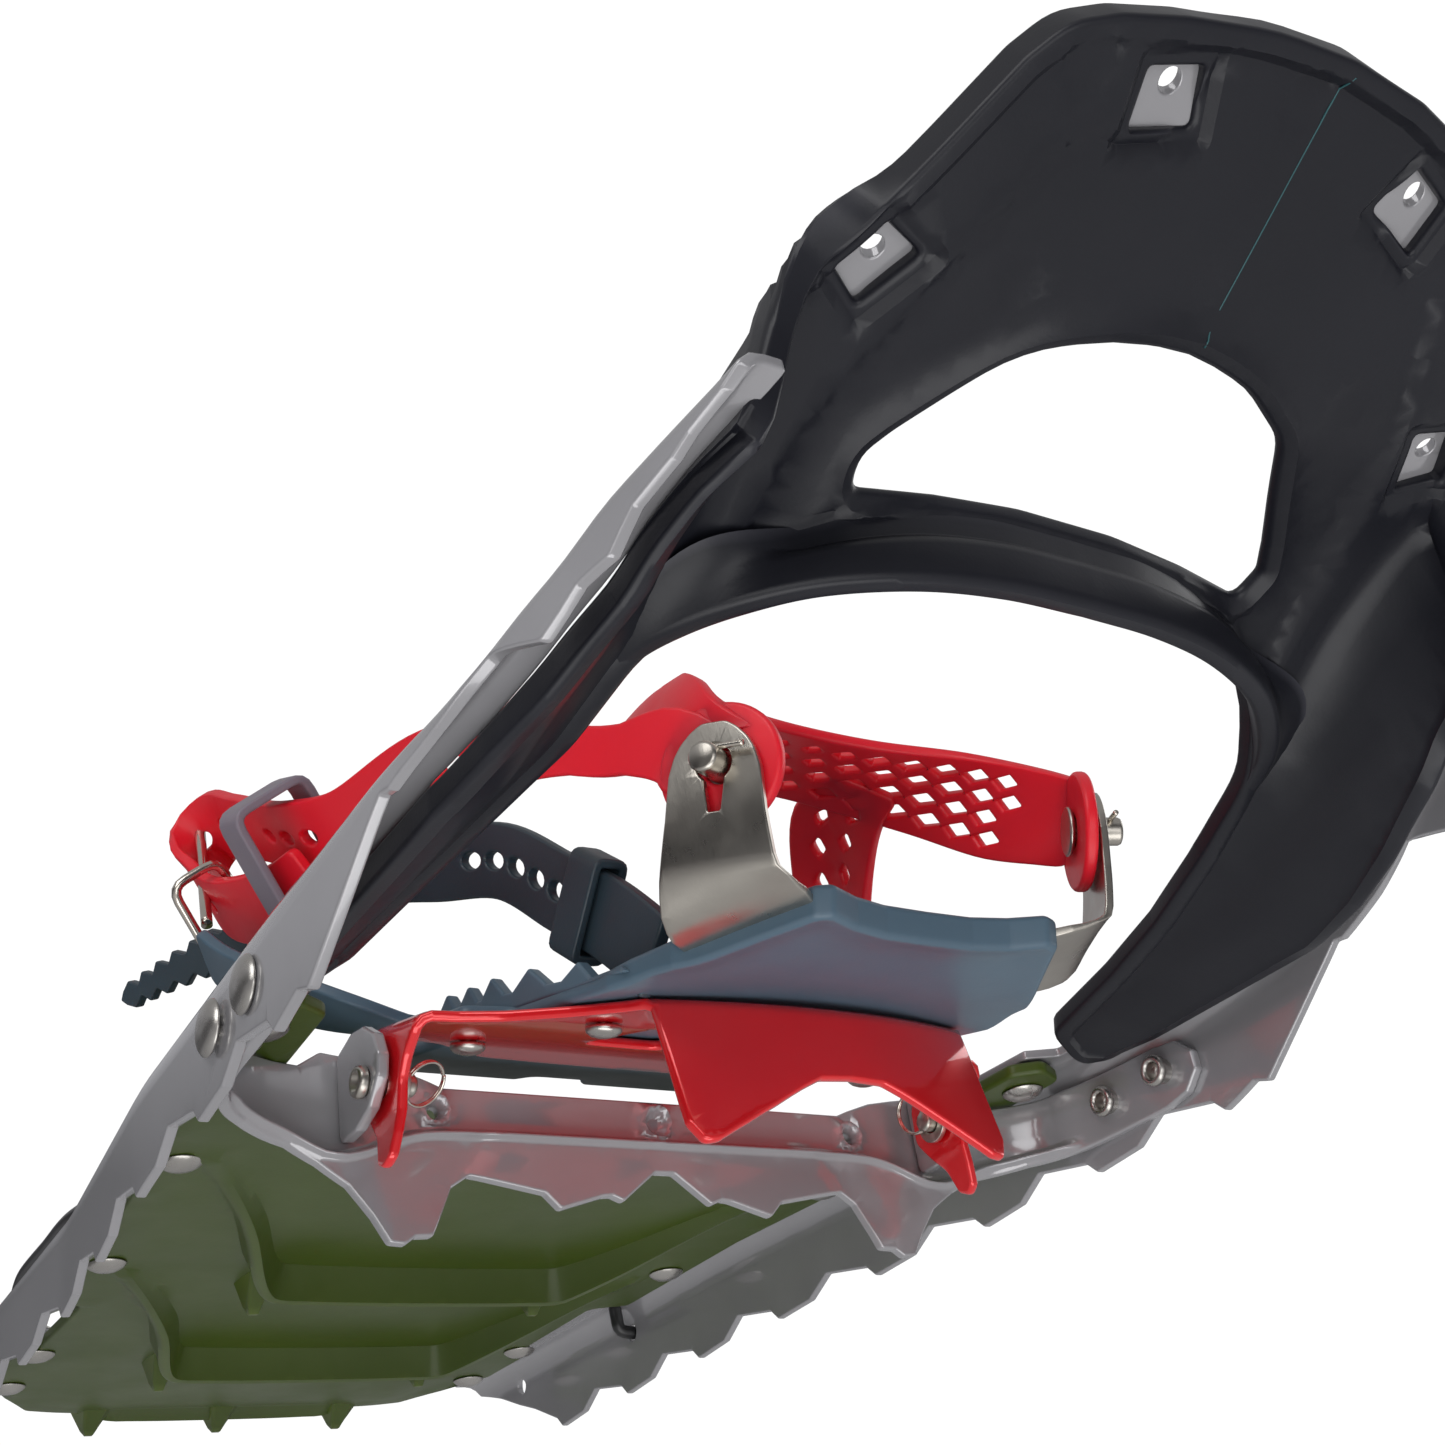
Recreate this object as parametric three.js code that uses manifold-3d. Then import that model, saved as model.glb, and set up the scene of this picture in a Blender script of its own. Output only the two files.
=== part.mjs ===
// Snowshoe: plastic nose deck and tail deck, toothed side rails, toothed crossbar, pivoting binding with
// crampon, side brackets, mesh forefoot cradle, straps and buckle, and a swing-up wire heel lift.
// Millimetres, +Z up, +Y towards the nose, +X towards the wearer's right.
import * as THREE from "three";
import { mergeVertices } from "three/addons/utils/BufferGeometryUtils.js";
import Module from "manifold-3d";

const wasm = await Module();
wasm.setup();

// ---------------------------------------------------------------- driving dimensions
const GAP = 0.3; // clearance between touching pieces
const FRAME_SHIFT = new THREE.Vector3(0, 25.75, 15.211); // puts the origin under the middle of the footprint

const RAIL = {
  sheet: 2, // sheet thickness
  topZ: 25.2, // top face of the flange
  bendRadius: 8.5,
  toothPitch: 38.03,
  firstTipY: 56.1,
  teeth: 8,
  tailY: -259,
  wireHoleY: -166,
  wireHoleZ: 15.5,
};
const CROSSBAR = { sheet: 2.4, faceY: -0.3, earX: 97.2 };
const BIND_AT = { y: 9.2, z: 12 }; // origin of the binding's own frame
const BIND_PITCH = THREE.MathUtils.degToRad(-14); // toe-down pitch of the binding at rest
const PIVOT = { y: 11, z: 11.8, pinR: 2.1 };
const CRAMPON = { sheet: 2, topZ: 11.6, halfWidth: 64.1, rearY: -18, cornerY: 16, frontY: 44.7, frontHalf: 31 };
const EAR = { sheet: 2.4, leanZ: -5, lean: 0.19 }; // crampon ears; below leanZ their teeth lean outwards
const BASE = { floorZ: 12, thick: 3, rearY: -58, frontY: 83 };
const LIFT = { wireR: 1.8, legX: 83, rise: 12.6, reach: 68 };

// ---------------------------------------------------------------- helpers
const lerp = THREE.MathUtils.lerp;
const clamp = THREE.MathUtils.clamp;

// Piecewise-linear curve through [input, output] pairs.
function track(pairs) {
  return (t) => {
    if (t <= pairs[0][0]) return pairs[0][1];
    for (let i = 1; i < pairs.length; i++) {
      const [a, p] = pairs[i - 1];
      const [b, q] = pairs[i];
      if (t <= b) return lerp(p, q, (t - a) / (b - a));
    }
    return pairs[pairs.length - 1][1];
  };
}

function toSolid(geometry) {
  const bare = geometry.clone();
  bare.deleteAttribute("normal");
  bare.deleteAttribute("uv");
  const merged = mergeVertices(bare, 1e-4);
  const mesh = new wasm.Mesh({
    numProp: 3,
    vertProperties: new Float32Array(merged.attributes.position.array),
    triVerts: new Uint32Array(merged.index.array),
  });
  const solid = new wasm.Manifold(mesh);
  return solid;
}

function toGeometry(solid) {
  const mesh = solid.getMesh();
  const geometry = new THREE.BufferGeometry();
  geometry.setAttribute("position", new THREE.BufferAttribute(mesh.vertProperties, 3));
  geometry.setIndex(new THREE.BufferAttribute(mesh.triVerts, 1));
  geometry.computeVertexNormals();
  return geometry;
}

const largest = (solid) => solid.decompose().sort((a, b) => b.volume() - a.volume())[0];
const join = (...solids) => wasm.Manifold.union(solids);
const cut = (solid, ...tools) => tools.reduce((rest, tool) => rest.subtract(tool), solid);

// A box whose vertices are sent through at(u, v, w), each in 0..1: a closed solid of any sheet-like shape.
function slab(nu, nv, nw, at) {
  const geometry = new THREE.BoxGeometry(1, 1, 1, nu, nv, nw);
  const position = geometry.attributes.position;
  for (let i = 0; i < position.count; i++) {
    const p = at(position.getX(i) + 0.5, position.getY(i) + 0.5, position.getZ(i) + 0.5);
    position.setXYZ(i, p.x, p.y, p.z);
  }
  return turnedOut(geometry);
}

// Reverses a closed geometry's faces if they point inwards.
function turnedOut(geometry) {
  const index = geometry.index.array;
  const p = geometry.attributes.position;
  const [a, b, c] = [new THREE.Vector3(), new THREE.Vector3(), new THREE.Vector3()];
  let volume = 0;
  for (let i = 0; i < index.length; i += 3) {
    a.fromBufferAttribute(p, index[i]);
    b.fromBufferAttribute(p, index[i + 1]);
    c.fromBufferAttribute(p, index[i + 2]);
    volume += a.dot(b.cross(c));
  }
  if (volume < 0) {
    for (let i = 0; i < index.length; i += 3) [index[i], index[i + 1]] = [index[i + 1], index[i]];
  }
  return geometry;
}

// Box between two corners.
function block(low, high) {
  const [a, b] = [new THREE.Vector3(...low), new THREE.Vector3(...high)];
  const size = b.clone().sub(a);
  return new THREE.BoxGeometry(...size.toArray()).translate(...a.add(b).multiplyScalar(0.5).toArray());
}

// Cylinder between two points.
function rod(from, to, radius, sides = 20) {
  const a = new THREE.Vector3(...from);
  const b = new THREE.Vector3(...to);
  const along = b.clone().sub(a);
  const geometry = new THREE.CylinderGeometry(radius, radius, along.length(), sides);
  const turn = new THREE.Quaternion().setFromUnitVectors(new THREE.Vector3(0, 1, 0), along.clone().normalize());
  return geometry.applyQuaternion(turn).translate(...a.add(b).multiplyScalar(0.5).toArray());
}

// Lathe about an axis through a point: profile is [radius, height] pairs from axis to axis.
function turned(profile, at, axis, sides = 20) {
  const points = profile.map(([r, h]) => new THREE.Vector2(r, h));
  const geometry = new THREE.LatheGeometry(points, sides);
  const turn = new THREE.Quaternion().setFromUnitVectors(
    new THREE.Vector3(0, 1, 0),
    new THREE.Vector3(...axis).normalize(),
  );
  return turnedOut(mergeVertices(bareOf(geometry), 1e-4)).applyQuaternion(turn).translate(...at);
}

function bareOf(geometry) {
  const bare = geometry.clone();
  bare.deleteAttribute("normal");
  bare.deleteAttribute("uv");
  return bare;
}

// Prism of a closed outline [x, y] between two heights.
function prism(outline, z0, z1) {
  const shape = new THREE.Shape(outline.map(([x, y]) => new THREE.Vector2(x, y)));
  return new THREE.ExtrudeGeometry(shape, { depth: z1 - z0, bevelEnabled: false }).translate(0, 0, z0);
}

// Prism of a closed [y, z] outline between two x positions.
function prismX(outline, x0, x1) {
  const geometry = prism(outline, x0, x1);
  return geometry.applyMatrix4(new THREE.Matrix4().makeBasis(
    new THREE.Vector3(0, 1, 0),
    new THREE.Vector3(0, 0, 1),
    new THREE.Vector3(1, 0, 0),
  ));
}

// Round wire along a smooth curve through points; a closed one joins up without a seam.
function wire(points, radius, steps, closed = false, sides = 8) {
  const curve = smooth(points);
  curve.closed = closed;
  if (closed) return mergeVertices(bareOf(new THREE.TubeGeometry(curve, steps, radius, sides, true)), 1e-4);
  const section = new THREE.Shape();
  section.absarc(0, 0, radius, 0, Math.PI * 2, false);
  return new THREE.ExtrudeGeometry(section, {
    steps,
    curveSegments: sides / 2,
    bevelEnabled: false,
    extrudePath: curve,
  });
}

function smooth(points) {
  return new THREE.CatmullRomCurve3(points.map((p) => new THREE.Vector3(...p)), false, "centripetal");
}

// Curved sheet lofted across rows of points: every row runs along the sheet and has its own smooth curve.
function sheet(rows, thickness, nu, nv = 1) {
  const curves = rows.map(smooth);
  const surface = (u, v) => {
    const k = Math.min(Math.floor(v * (rows.length - 1)), rows.length - 2);
    return curves[k].getPoint(u).lerp(curves[k + 1].getPoint(u), v * (rows.length - 1) - k);
  };
  const d = 0.004;
  return slab(nu, nv, 1, (u, v, w) => {
    const [u0, u1, v0, v1] = [Math.max(u - d, 0), Math.min(u + d, 1), Math.max(v - d, 0), Math.min(v + d, 1)];
    const run = surface(u1, v).sub(surface(u0, v));
    const across = surface(u, v1).sub(surface(u, v0));
    const normal = run.cross(across).normalize();
    return surface(u, v).addScaledVector(normal, (w - 0.5) * thickness);
  });
}

// Flat strap along centre points: each stop is [x, y, z, ...across], with one width for the whole strap.
function strap(stops, width, thickness, steps) {
  const edge = (side) => stops.map(([x, y, z, ax, ay, az]) => {
    const across = new THREE.Vector3(ax, ay, az).normalize().multiplyScalar((side * width) / 2);
    return [x + across.x, y + across.y, z + across.z];
  });
  return sheet([edge(-1), edge(1)], thickness, steps);
}

const mirrorX = (geometry) => {
  const copy = geometry.index ? geometry.clone() : mergeVertices(bareOf(geometry), 1e-4);
  copy.scale(-1, 1, 1);
  return turnedOut(copy);
};

const mirrored = (outline) => outline.concat(outline.slice().reverse().map(([x, y]) => [-x, y]));

// ---------------------------------------------------------------- materials
const paint = (color, metalness, roughness) => new THREE.MeshStandardMaterial({ color, metalness, roughness });
const charcoal = paint(0x2e2f33, 0, 0.5);
const olive = paint(0x55692b, 0, 0.45);
const greyPaint = paint(0x9c9da1, 0.35, 0.3);
const redPaint = paint(0xb4101a, 0.2, 0.2);
const redStrap = paint(0xb01826, 0, 0.5);
const blueGrey = paint(0x47606f, 0, 0.4);
const darkStrap = paint(0x303d44, 0, 0.45);
const keeperGrey = paint(0x57525c, 0, 0.5);
const steel = paint(0x9a968a, 0.95, 0.3);
const blackWire = paint(0x141416, 0.3, 0.5);

const snowshoe = new THREE.Group();
snowshoe.name = "snowshoe";
snowshoe.position.copy(FRAME_SHIFT);

function add(name, geometry, material, parent = snowshoe) {
  const mesh = new THREE.Mesh(geometry, material);
  mesh.name = name;
  parent.add(mesh);
}

function addPair(name, geometry, material, parent = snowshoe) {
  add(`${name}_right`, geometry, material, parent);
  add(`${name}_left`, mirrorX(geometry), material, parent);
}

// ---------------------------------------------------------------- rails
// Outer half-width of the rails along the shoe, and the rise of their top towards the nose.
const halfWidth = track([[-260, 87], [-210, 87.8], [-96, 90.7], [-20, 98.5], [56, 101.2], [97, 99.6], [121, 95.1],
  [138, 90], [149, 87], [159, 84], [170, 80]]);
const railRise = track([[88, 0], [97, 0.3], [109, 2], [121, 5], [128, 8.3], [136, 11.3], [143, 15.3], [153, 18.3],
  [162, 21.3], [170, 24.3]]);
const bendRadius = track([[60, RAIL.bendRadius], [95, 4.5]]);

// Lower edge of the blade, [y, z], from tail to front lobe.
const bladeEdge = [[RAIL.tailY, 21.5], [-236, 12.2], [-226, 8.6], [-219, 5.5]];
for (let k = RAIL.teeth - 1; k >= 0; k--) {
  const tip = RAIL.firstTipY - k * RAIL.toothPitch;
  if (k < RAIL.teeth - 1) bladeEdge.push([tip - 25, 1.1], [tip - 17.3, 5.5]);
  bladeEdge.push([tip - 2.8, 2.8], [tip, 0]);
}
bladeEdge.push([65.4, 2.7], [69.2, 1.4], [95.1, 19.7], [97.4, 19.3], [109.2, 22.8], [120.7, 28.3], [131, 24.4],
  [138, 29], [144, 30], [149, 35], [156, 38], [159, 40.2], [165, 43.4], [168, 46]);

// Flange reach inwards from the rail's outer face: wide at the riveted tabs, narrow at the slots between them.
const flangeReach = track([[RAIL.tailY, 12], [-245, 12], [-244.5, 23], [-224, 23], [-223.5, 12], [-206, 12],
  [-205.5, 24], [-197, 24], [-196.5, 12], [-160, 12], [-159.5, 23], [-118, 23], [-117.5, 12], [-82.5, 12], [-82, 23],
  [-30, 23], [-10, 20], [22, 19], [25, 12], [60, 11], [95, 9], [168, 8]]);
const tabEdges = [-245, -244.5, -224, -223.5, -206, -205.5, -197, -196.5, -160, -159.5, -118, -117.5, -82.5, -82,
  -30, -10, 22, 25, 34];
const edgeZ = track(bladeEdge);
const stations = [...new Set([...bladeEdge.map(([y]) => y), ...tabEdges])].sort((a, b) => a - b);

// Rail section from the lower edge, round the bend, to the flange's inner edge.
function railPoint(u, v, w) {
  const y = stations[Math.round(u * (stations.length - 1))];
  const outer = halfWidth(y) - w * RAIL.sheet;
  const top = RAIL.topZ + railRise(y);
  const radius = bendRadius(y) - w * RAIL.sheet;
  const centreZ = top - bendRadius(y);
  const k = Math.round(v * 4);
  if (k === 0) return new THREE.Vector3(outer, y, Math.min(edgeZ(y), centreZ - 0.4));
  if (k === 4) return new THREE.Vector3(halfWidth(y) - flangeReach(y), y, top - w * RAIL.sheet);
  const turn = ((k - 1) / 2) * (Math.PI / 2);
  const centreX = halfWidth(y) - bendRadius(y);
  return new THREE.Vector3(centreX + radius * Math.cos(turn), y, centreZ + radius * Math.sin(turn));
}

// Underside of the nose deck: a low line along the rails, a high line inside it, and a steep wall between.
const noseHighZ = track([[34, 24.5], [57, 27], [75, 30], [95, 34], [116, 41.5], [128, 49], [140, 56], [150, 60],
  [160, 63.3], [170, 65.8], [176, 67.5], [190, 74.7], [204, 82], [218, 89.2]]);
const noseLowZ = track([[34, 19], [88, 19], [97, 19.1], [109, 20.8], [121, 23.8], [128, 26.9], [136, 29.9],
  [143, 33.9], [153, 37], [162, 39.8], [168, 46], [176, 58], [185, 69], [204, 80.5], [218, 88]]);
const noseOuterX = track([[34, 88.5], [60, 89.5], [88, 90], [109, 89], [121, 86.5], [136, 82], [153, 78], [162, 74.5],
  [168, 72], [176, 67], [190, 62], [204, 56], [218, 54]]);
const noseInnerX = track([[34, 79], [57, 76], [75, 72], [95, 68], [116, 66], [130, 64], [150, 66], [162, 67],
  [170, 66], [176, 63], [190, 58], [204, 52], [218, 50]]);
const noseZ = (x, y) => {
  const across = (noseOuterX(y) - Math.abs(x)) / (noseOuterX(y) - noseInnerX(y));
  return lerp(noseLowZ(y), noseHighZ(y), clamp(across, 0, 1));
};

// Frame tabs moulded into the nose rim, seen through its pockets.
const TAB = { length: 15, width: 11.5, sheet: 2, seat: 3.6 };
const tabSpots = [[57.7, 172.8], [25.6, 204]];
const tabTurn = ([x]) => THREE.MathUtils.degToRad(x > 40 ? -64 : -18);
const tabPrism = (spot, grow, high) => {
  const [l, w] = [TAB.length / 2 + grow, TAB.width / 2 + grow];
  const outline = [[-l + 3, -w], [l - 3, -w], [l, -w + 3], [l, w], [-l, w], [-l, -w + 3]];
  return prism(outline, 0, high).rotateZ(tabTurn(spot)).translate(spot[0], spot[1], 0);
};
const tabFloor = ([x, y]) => noseZ(x, y) + TAB.seat;
// Tilts a flat piece to the deck's slope at a spot.
const tilted = (geometry, spot, rise) => {
  const p = geometry.attributes.position;
  const [sx, sy] = [noseZ(spot[0] + 3, spot[1]) - noseZ(spot[0] - 3, spot[1]), noseZ(spot[0], spot[1] + 3) -
    noseZ(spot[0], spot[1] - 3)];
  for (let i = 0; i < p.count; i++) {
    const lift = ((p.getX(i) - spot[0]) * sx + (p.getY(i) - spot[1]) * sy) / 6;
    p.setZ(i, p.getZ(i) + tabFloor(spot) + rise + lift);
  }
  return geometry;
};
const plateHoles = tabSpots.map(([x, y]) => rod([x, y, 50], [x, y, 110], 2.3, 16));
tabSpots.forEach((spot, i) => {
  const tab = toSolid(tilted(tabPrism(spot, 0, TAB.sheet), spot, 0)).subtract(toSolid(plateHoles[i]));
  addPair(`nose_frame_tab_${i + 1}`, toGeometry(tab), greyPaint);
});
const rivetY = [13, -55, -123, -201, -234];
const rivetX = [86.5, 79, 74, 69, 68];
const tailRivetHoles = rivetY.map((y, i) => rod([rivetX[i], y, 15], [rivetX[i], y, 30], 2.3, 12));
const barRivets = [[45, 12.5], [28.5, 12]];
const barRivetHoles = barRivets.map(([y, z]) => rod([85, y, z], [110, y, z], 2.9, 14));
const rail = cut(
  toSolid(slab(stations.length - 1, 4, 1, railPoint)),
  toSolid(rod([80, RAIL.wireHoleY, RAIL.wireHoleZ], [95, RAIL.wireHoleY, RAIL.wireHoleZ], LIFT.wireR + 0.3, 14)),
  toSolid(rod([80, -233, 17.2], [95, -233, 17.2], 2.5, 14)),
  toSolid(block([70, -187, 19], [85.9, -160, 30])),
  ...[...tailRivetHoles, ...barRivetHoles].map(toSolid),
);
addPair("rail", toGeometry(rail), greyPaint);

// ---------------------------------------------------------------- nose deck
const noseOutline = mirrored([[0, 217], [30, 213], [47, 207], [51, 201.5], [56.5, 190], [61.5, 180], [65, 172],
  [70, 165], [76, 161], [79, 153], [83, 136], [87, 121], [90, 109], [92, 95], [92, 36], [87, 31], [79, 33], [75.5, 57],
  [72, 75], [67, 95], [63.9, 112], [56, 124], [45, 132.5], [30, 138], [14, 140.4]]);
const windowOutline = mirrored([[0, 175.9], [14, 173.6], [27.1, 167.4], [39.5, 150], [42.2, 145.5], [41, 140.5],
  [26, 142.6], [10, 144]]);
// Thin in the middle and under the rails, thick along the nose rim.
const noseThickness = (x, y) => {
  const rim = Math.max(clamp((Math.abs(x) - 44) / 8, 0, 1), clamp((y - 182) / 8, 0, 1));
  return lerp(3.5, 5.9, rim * clamp((y - 166) / 8, 0, 1));
};
const deckRows = [28, 34, 57, 75, 88, 97, 109, 116, 121, 128, 136, 143, 150, 156, 162, 166, 170, 176, 182, 190,
  204, 212, 220];
const deckSheet = slab(11, deckRows.length - 1, 1, (u, v, w) => {
  const y = deckRows[Math.round(v * (deckRows.length - 1))];
  const [outer, inner] = [noseOuterX(y), noseInnerX(y)];
  const columns = [96, outer, inner, Math.min(44, inner * 0.8), 26, 9];
  const k = Math.round(u * 11);
  const x = k < 6 ? -columns[k] : columns[11 - k];
  return new THREE.Vector3(x, y, noseZ(x, y) + w * noseThickness(x, y));
});
// Curved web under the arch between toe opening and window.
const archWeb = slab(14, 1, 1, (u, v, w) => {
  const x = lerp(-58, 58, u);
  const bow = (x / 58) ** 2;
  const y = 142.6 - 20.5 * bow + (v - 0.5) * 3.6;
  return new THREE.Vector3(x, y, lerp(42.8 - 1.5 * bow, 59 - 8 * bow, w));
});
const pocketOutline = [[-6.4, -4.8], [6.4, -4.8], [5.4, 4.4], [-5.4, 4.4]];
const tabCutters = tabSpots.flatMap((spot, i) => [
  toSolid(tilted(prism(pocketOutline, 0, 5).rotateZ(tabTurn(spot)).translate(spot[0], spot[1], 0), spot, -4.6)),
  toSolid(tilted(tabPrism(spot, GAP, 12), spot, -GAP)),
  toSolid(plateHoles[i]),
]);
const rightCutter = join(...tabCutters);
const noseDeck = cut(
  join(
    toSolid(deckSheet)
      .intersect(toSolid(prism(noseOutline, 10, 110)))
      .subtract(toSolid(prism(windowOutline, 10, 110))),
    toSolid(archWeb),
  ),
  rightCutter,
  rightCutter.mirror([1, 0, 0]),
);
add("nose_deck", toGeometry(noseDeck), charcoal);

// ---------------------------------------------------------------- crossbar
// Plan route of one half, [x, y], then bottom and top edge heights along x.
const barTop = track([[0, 17.2], [46, 17.2], [49, 18.4], [55, 20.4], [61, 21.4], [70, 22.6], [74.5, 19.4],
  [84, 19.2], [100, 18.2], [200, 18.2]]);
const barTeeth = [[0, 2], [2.2, 2], [10, -4], [12.5, -3], [14.5, -3.2], [24, -6], [27, -3], [42.5, -0.2],
  [46, -2.4], [50.5, -11.8], [54, -12], [56, -13.4], [59, -13.2], [62, -8.5], [66.5, -3], [72, 0.6], [78, 3.2],
  [90, 4.6], [200, 4.6]];
const barBottom = track(barTeeth);
const barRoute = new THREE.CatmullRomCurve3(
  [[0, 0], [30, 0], [60, 0], [72, 0.4], [82, 3.6], [90, 10], [94.5, 18.5], [95.9, 27], [96.4, 38], [96.8, 54]].map(
    ([x, y]) => new THREE.Vector3(x, y, 0),
  ),
);
const toothX = barTeeth.map(([x]) => x).filter((x) => x < 70);
const halfBarX = [...new Set([...toothX, 33, 49, 70, 74])].sort((a, b) => a - b);
const bendSteps = 12;
function barPoint(u, v, w) {
  const i = Math.round(u * (halfBarX.length - 1 + bendSteps));
  const offset = (w - 0.5) * CROSSBAR.sheet;
  const at = new THREE.Vector3();
  const run = new THREE.Vector3(1, 0, 0);
  if (i < halfBarX.length) {
    at.set(halfBarX[i], halfBarX[i] > 70 ? 0.5 : 0, 0);
    if (halfBarX[i] > 70) run.set(1, 0.22, 0).normalize();
  } else {
    const s = lerp(0.5, 1, (i - halfBarX.length + 1) / bendSteps);
    at.copy(barRoute.getPoint(s));
    run.copy(barRoute.getTangent(s));
  }
  const along = at.x + Math.max(0, at.y - 18) * 2;
  let low = barBottom(along);
  let high = barTop(along);
  const end = clamp((54 - at.y) / 7, 0, 1);
  const round = Math.sqrt(1 - (1 - end) ** 2);
  low = lerp(12, low, at.y > 40 ? round : 1);
  high = lerp(13, high, at.y > 40 ? round : 1);
  const face = CROSSBAR.faceY - CROSSBAR.sheet / 2;
  return new THREE.Vector3(at.x, at.y + face, lerp(low, high, v)).addScaledVector(
    new THREE.Vector3(-run.y, run.x, 0),
    offset,
  );
}
const halfBar = slab(halfBarX.length - 1 + bendSteps, 1, 1, barPoint);
const earOutline = [[-1.6, 4.6], [6, 4.8], [12, 6.6], [16.6, 11], [17.4, 15], [15.6, 19.4], [11, 22.6], [6, 23.4],
  [-1.6, 21.4]];
const barEar = prismX(earOutline, 65, 67.4);
const bar = cut(
  join(toSolid(halfBar), toSolid(mirrorX(halfBar)), toSolid(barEar), toSolid(mirrorX(barEar))),
  toSolid(rod([-80, PIVOT.y, PIVOT.z], [80, PIVOT.y, PIVOT.z], PIVOT.pinR + 0.25, 16)),
  ...barRivetHoles.map(toSolid),
  ...barRivetHoles.map((hole) => toSolid(mirrorX(hole))),
  ...[-1, 1].map((side) => toSolid(rod([side * 48, -6, 12.5], [side * 48, 4, 12.5], 1.6, 12))),
);
add("crossbar", toGeometry(bar), greyPaint);

// Crossbar rivets: domed head outside, rolled end inside.
barRivets.forEach(([y, z], i) => {
  const rivet = turned(
    [[0, -1.8], [3.3, -1.8], [3.3, -0.4], [2.6, -0.4], [2.6, 6.4], [4.85, 6.4], [3.6, 7.8], [0, 8.2]],
    [94.7, y, z],
    [1, 0, 0],
    14,
  );
  addPair(`crossbar_rivet_${i + 1}`, rivet, steel);
});

// ---------------------------------------------------------------- tail deck
const tailOutline = mirrored([[0, -265], [30, -264.5], [57, -261], [66, -247], [74, -231], [74.5, -204], [70, -200],
  [70, -158], [80, -154], [80.5, -96], [84, -60], [88, -22], [91, 2], [91.5, 20], [84, 24], [77.5, 20], [76, -8],
  [60, -14], [30, -18]]);
const dished = track([[-265, 1.4], [-200, 0.8], [-60, 0.8], [0, 0]]);
const tailColumns = [-93, -61, -42, -21, 21, 42, 61, 93];
const tailSheet = slab(tailColumns.length - 1, 8, 1, (u, v, w) => {
  const x = tailColumns[Math.round(u * (tailColumns.length - 1))];
  const y = lerp(-268, 26, v);
  const crown = dished(y) * clamp((61 - Math.abs(x)) / 20, 0, 1);
  return new THREE.Vector3(x, y, 19.8 + w * 3.1 - crown * 1.5);
});
// Cross rib: a straight middle and two arms that run forward and outward, tapering upwards.
function crossRib(middleY, armX, armY) {
  const route = [[-armX, armY], [-35, middleY], [35, middleY], [armX, armY]];
  return slab(12, 1, 1, (u, v, w) => {
    const k = u * 3;
    const i = Math.min(Math.floor(k), 2);
    const x = lerp(route[i][0], route[i + 1][0], k - i);
    const y = lerp(route[i][1], route[i + 1][1], k - i);
    const drop = 7.4 * clamp((armX - Math.abs(x)) / 34, 0.12, 1);
    return new THREE.Vector3(x, y + (v - 0.5) * lerp(4, 7, w), lerp(19.9 - drop, 20.6, w));
  });
}
// Fin: a small wedge that hangs from the deck.
const fin = (x, y, depth, length) => slab(1, 1, 1, (u, v, w) => {
  const tall = 1 - w;
  return new THREE.Vector3(
    x + (u - 0.5) * lerp(10, 3.4, tall),
    y + lerp(v * length, 0.4 + v * 3.4, tall),
    20.4 - tall * depth,
  );
});
const rearWall = slab(10, 1, 1, (u, v, w) => {
  const x = lerp(-57, 57, u);
  return new THREE.Vector3(x, -264.4 + 3.4 * (x / 57) ** 4 + v * 3, lerp(16.2, 21, w));
});
const tailDeck = cut(
  join(
    toSolid(tailSheet).intersect(toSolid(prism(tailOutline, 5, 40))),
    toSolid(crossRib(-118, 74, -52)),
    toSolid(crossRib(-190, 68, -129)),
    toSolid(rearWall),
    ...[-37.4, 0, 37.4].map((x) => toSolid(fin(x, -268.5, 7, 14))),
    ...[-36, 36].map((x) => toSolid(fin(x, -129, 9, 16))),
    ...[-36, 36].map((x) => toSolid(fin(x, -200, 9, 16))),
  ),
  ...tailRivetHoles.flatMap((hole) => [toSolid(hole), toSolid(mirrorX(hole))]),
);
add("tail_deck", toGeometry(tailDeck), olive);

// Tail deck rivets: shank through deck and flange, low dome under the deck and on the flange.
rivetY.forEach((y, i) => {
  const rivet = turned(
    [[0, -1.9], [3.2, -1.4], [4.6, -0.3], [2, -0.3], [2, 5.7], [3.6, 5.7], [3, 6.6], [0, 7]],
    [rivetX[i], y, 19.8],
    [0, 0, 1],
    10,
  );
  addPair(`tail_rivet_${i + 1}`, rivet, steel);
});

// ---------------------------------------------------------------- heel lift
const lift = new THREE.Group();
lift.position.set(0, RAIL.wireHoleY, RAIL.wireHoleZ);
snowshoe.add(lift);
const liftHalf = [[90.5, 0, 0], [86.5, 0, 0], [LIFT.legX + 0.3, 0, 0.8], [LIFT.legX - 0.4, 0, 4],
  [LIFT.legX - 0.4, 0, 9],
  [LIFT.legX - 0.2, 3, LIFT.rise - 1.6], [LIFT.legX, 8, LIFT.rise - 0.6], [LIFT.legX, 28, LIFT.rise],
  [LIFT.legX, LIFT.reach - 18, LIFT.rise], [LIFT.legX - 4, LIFT.reach - 5, LIFT.rise],
  [LIFT.legX - 16, LIFT.reach, LIFT.rise], [40, LIFT.reach, LIFT.rise], [12, LIFT.reach, LIFT.rise]];
const liftRoute = liftHalf.concat(liftHalf.slice().reverse().map(([x, y, z]) => [-x, y, z]));
add("heel_lift", wire(liftRoute, LIFT.wireR, 56, false, 6), blackWire, lift);

// ---------------------------------------------------------------- binding, in its own level frame about the pivot
const binding = new THREE.Group();
binding.position.set(0, BIND_AT.y, BIND_AT.z);
binding.rotation.x = BIND_PITCH;
snowshoe.add(binding);

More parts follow.
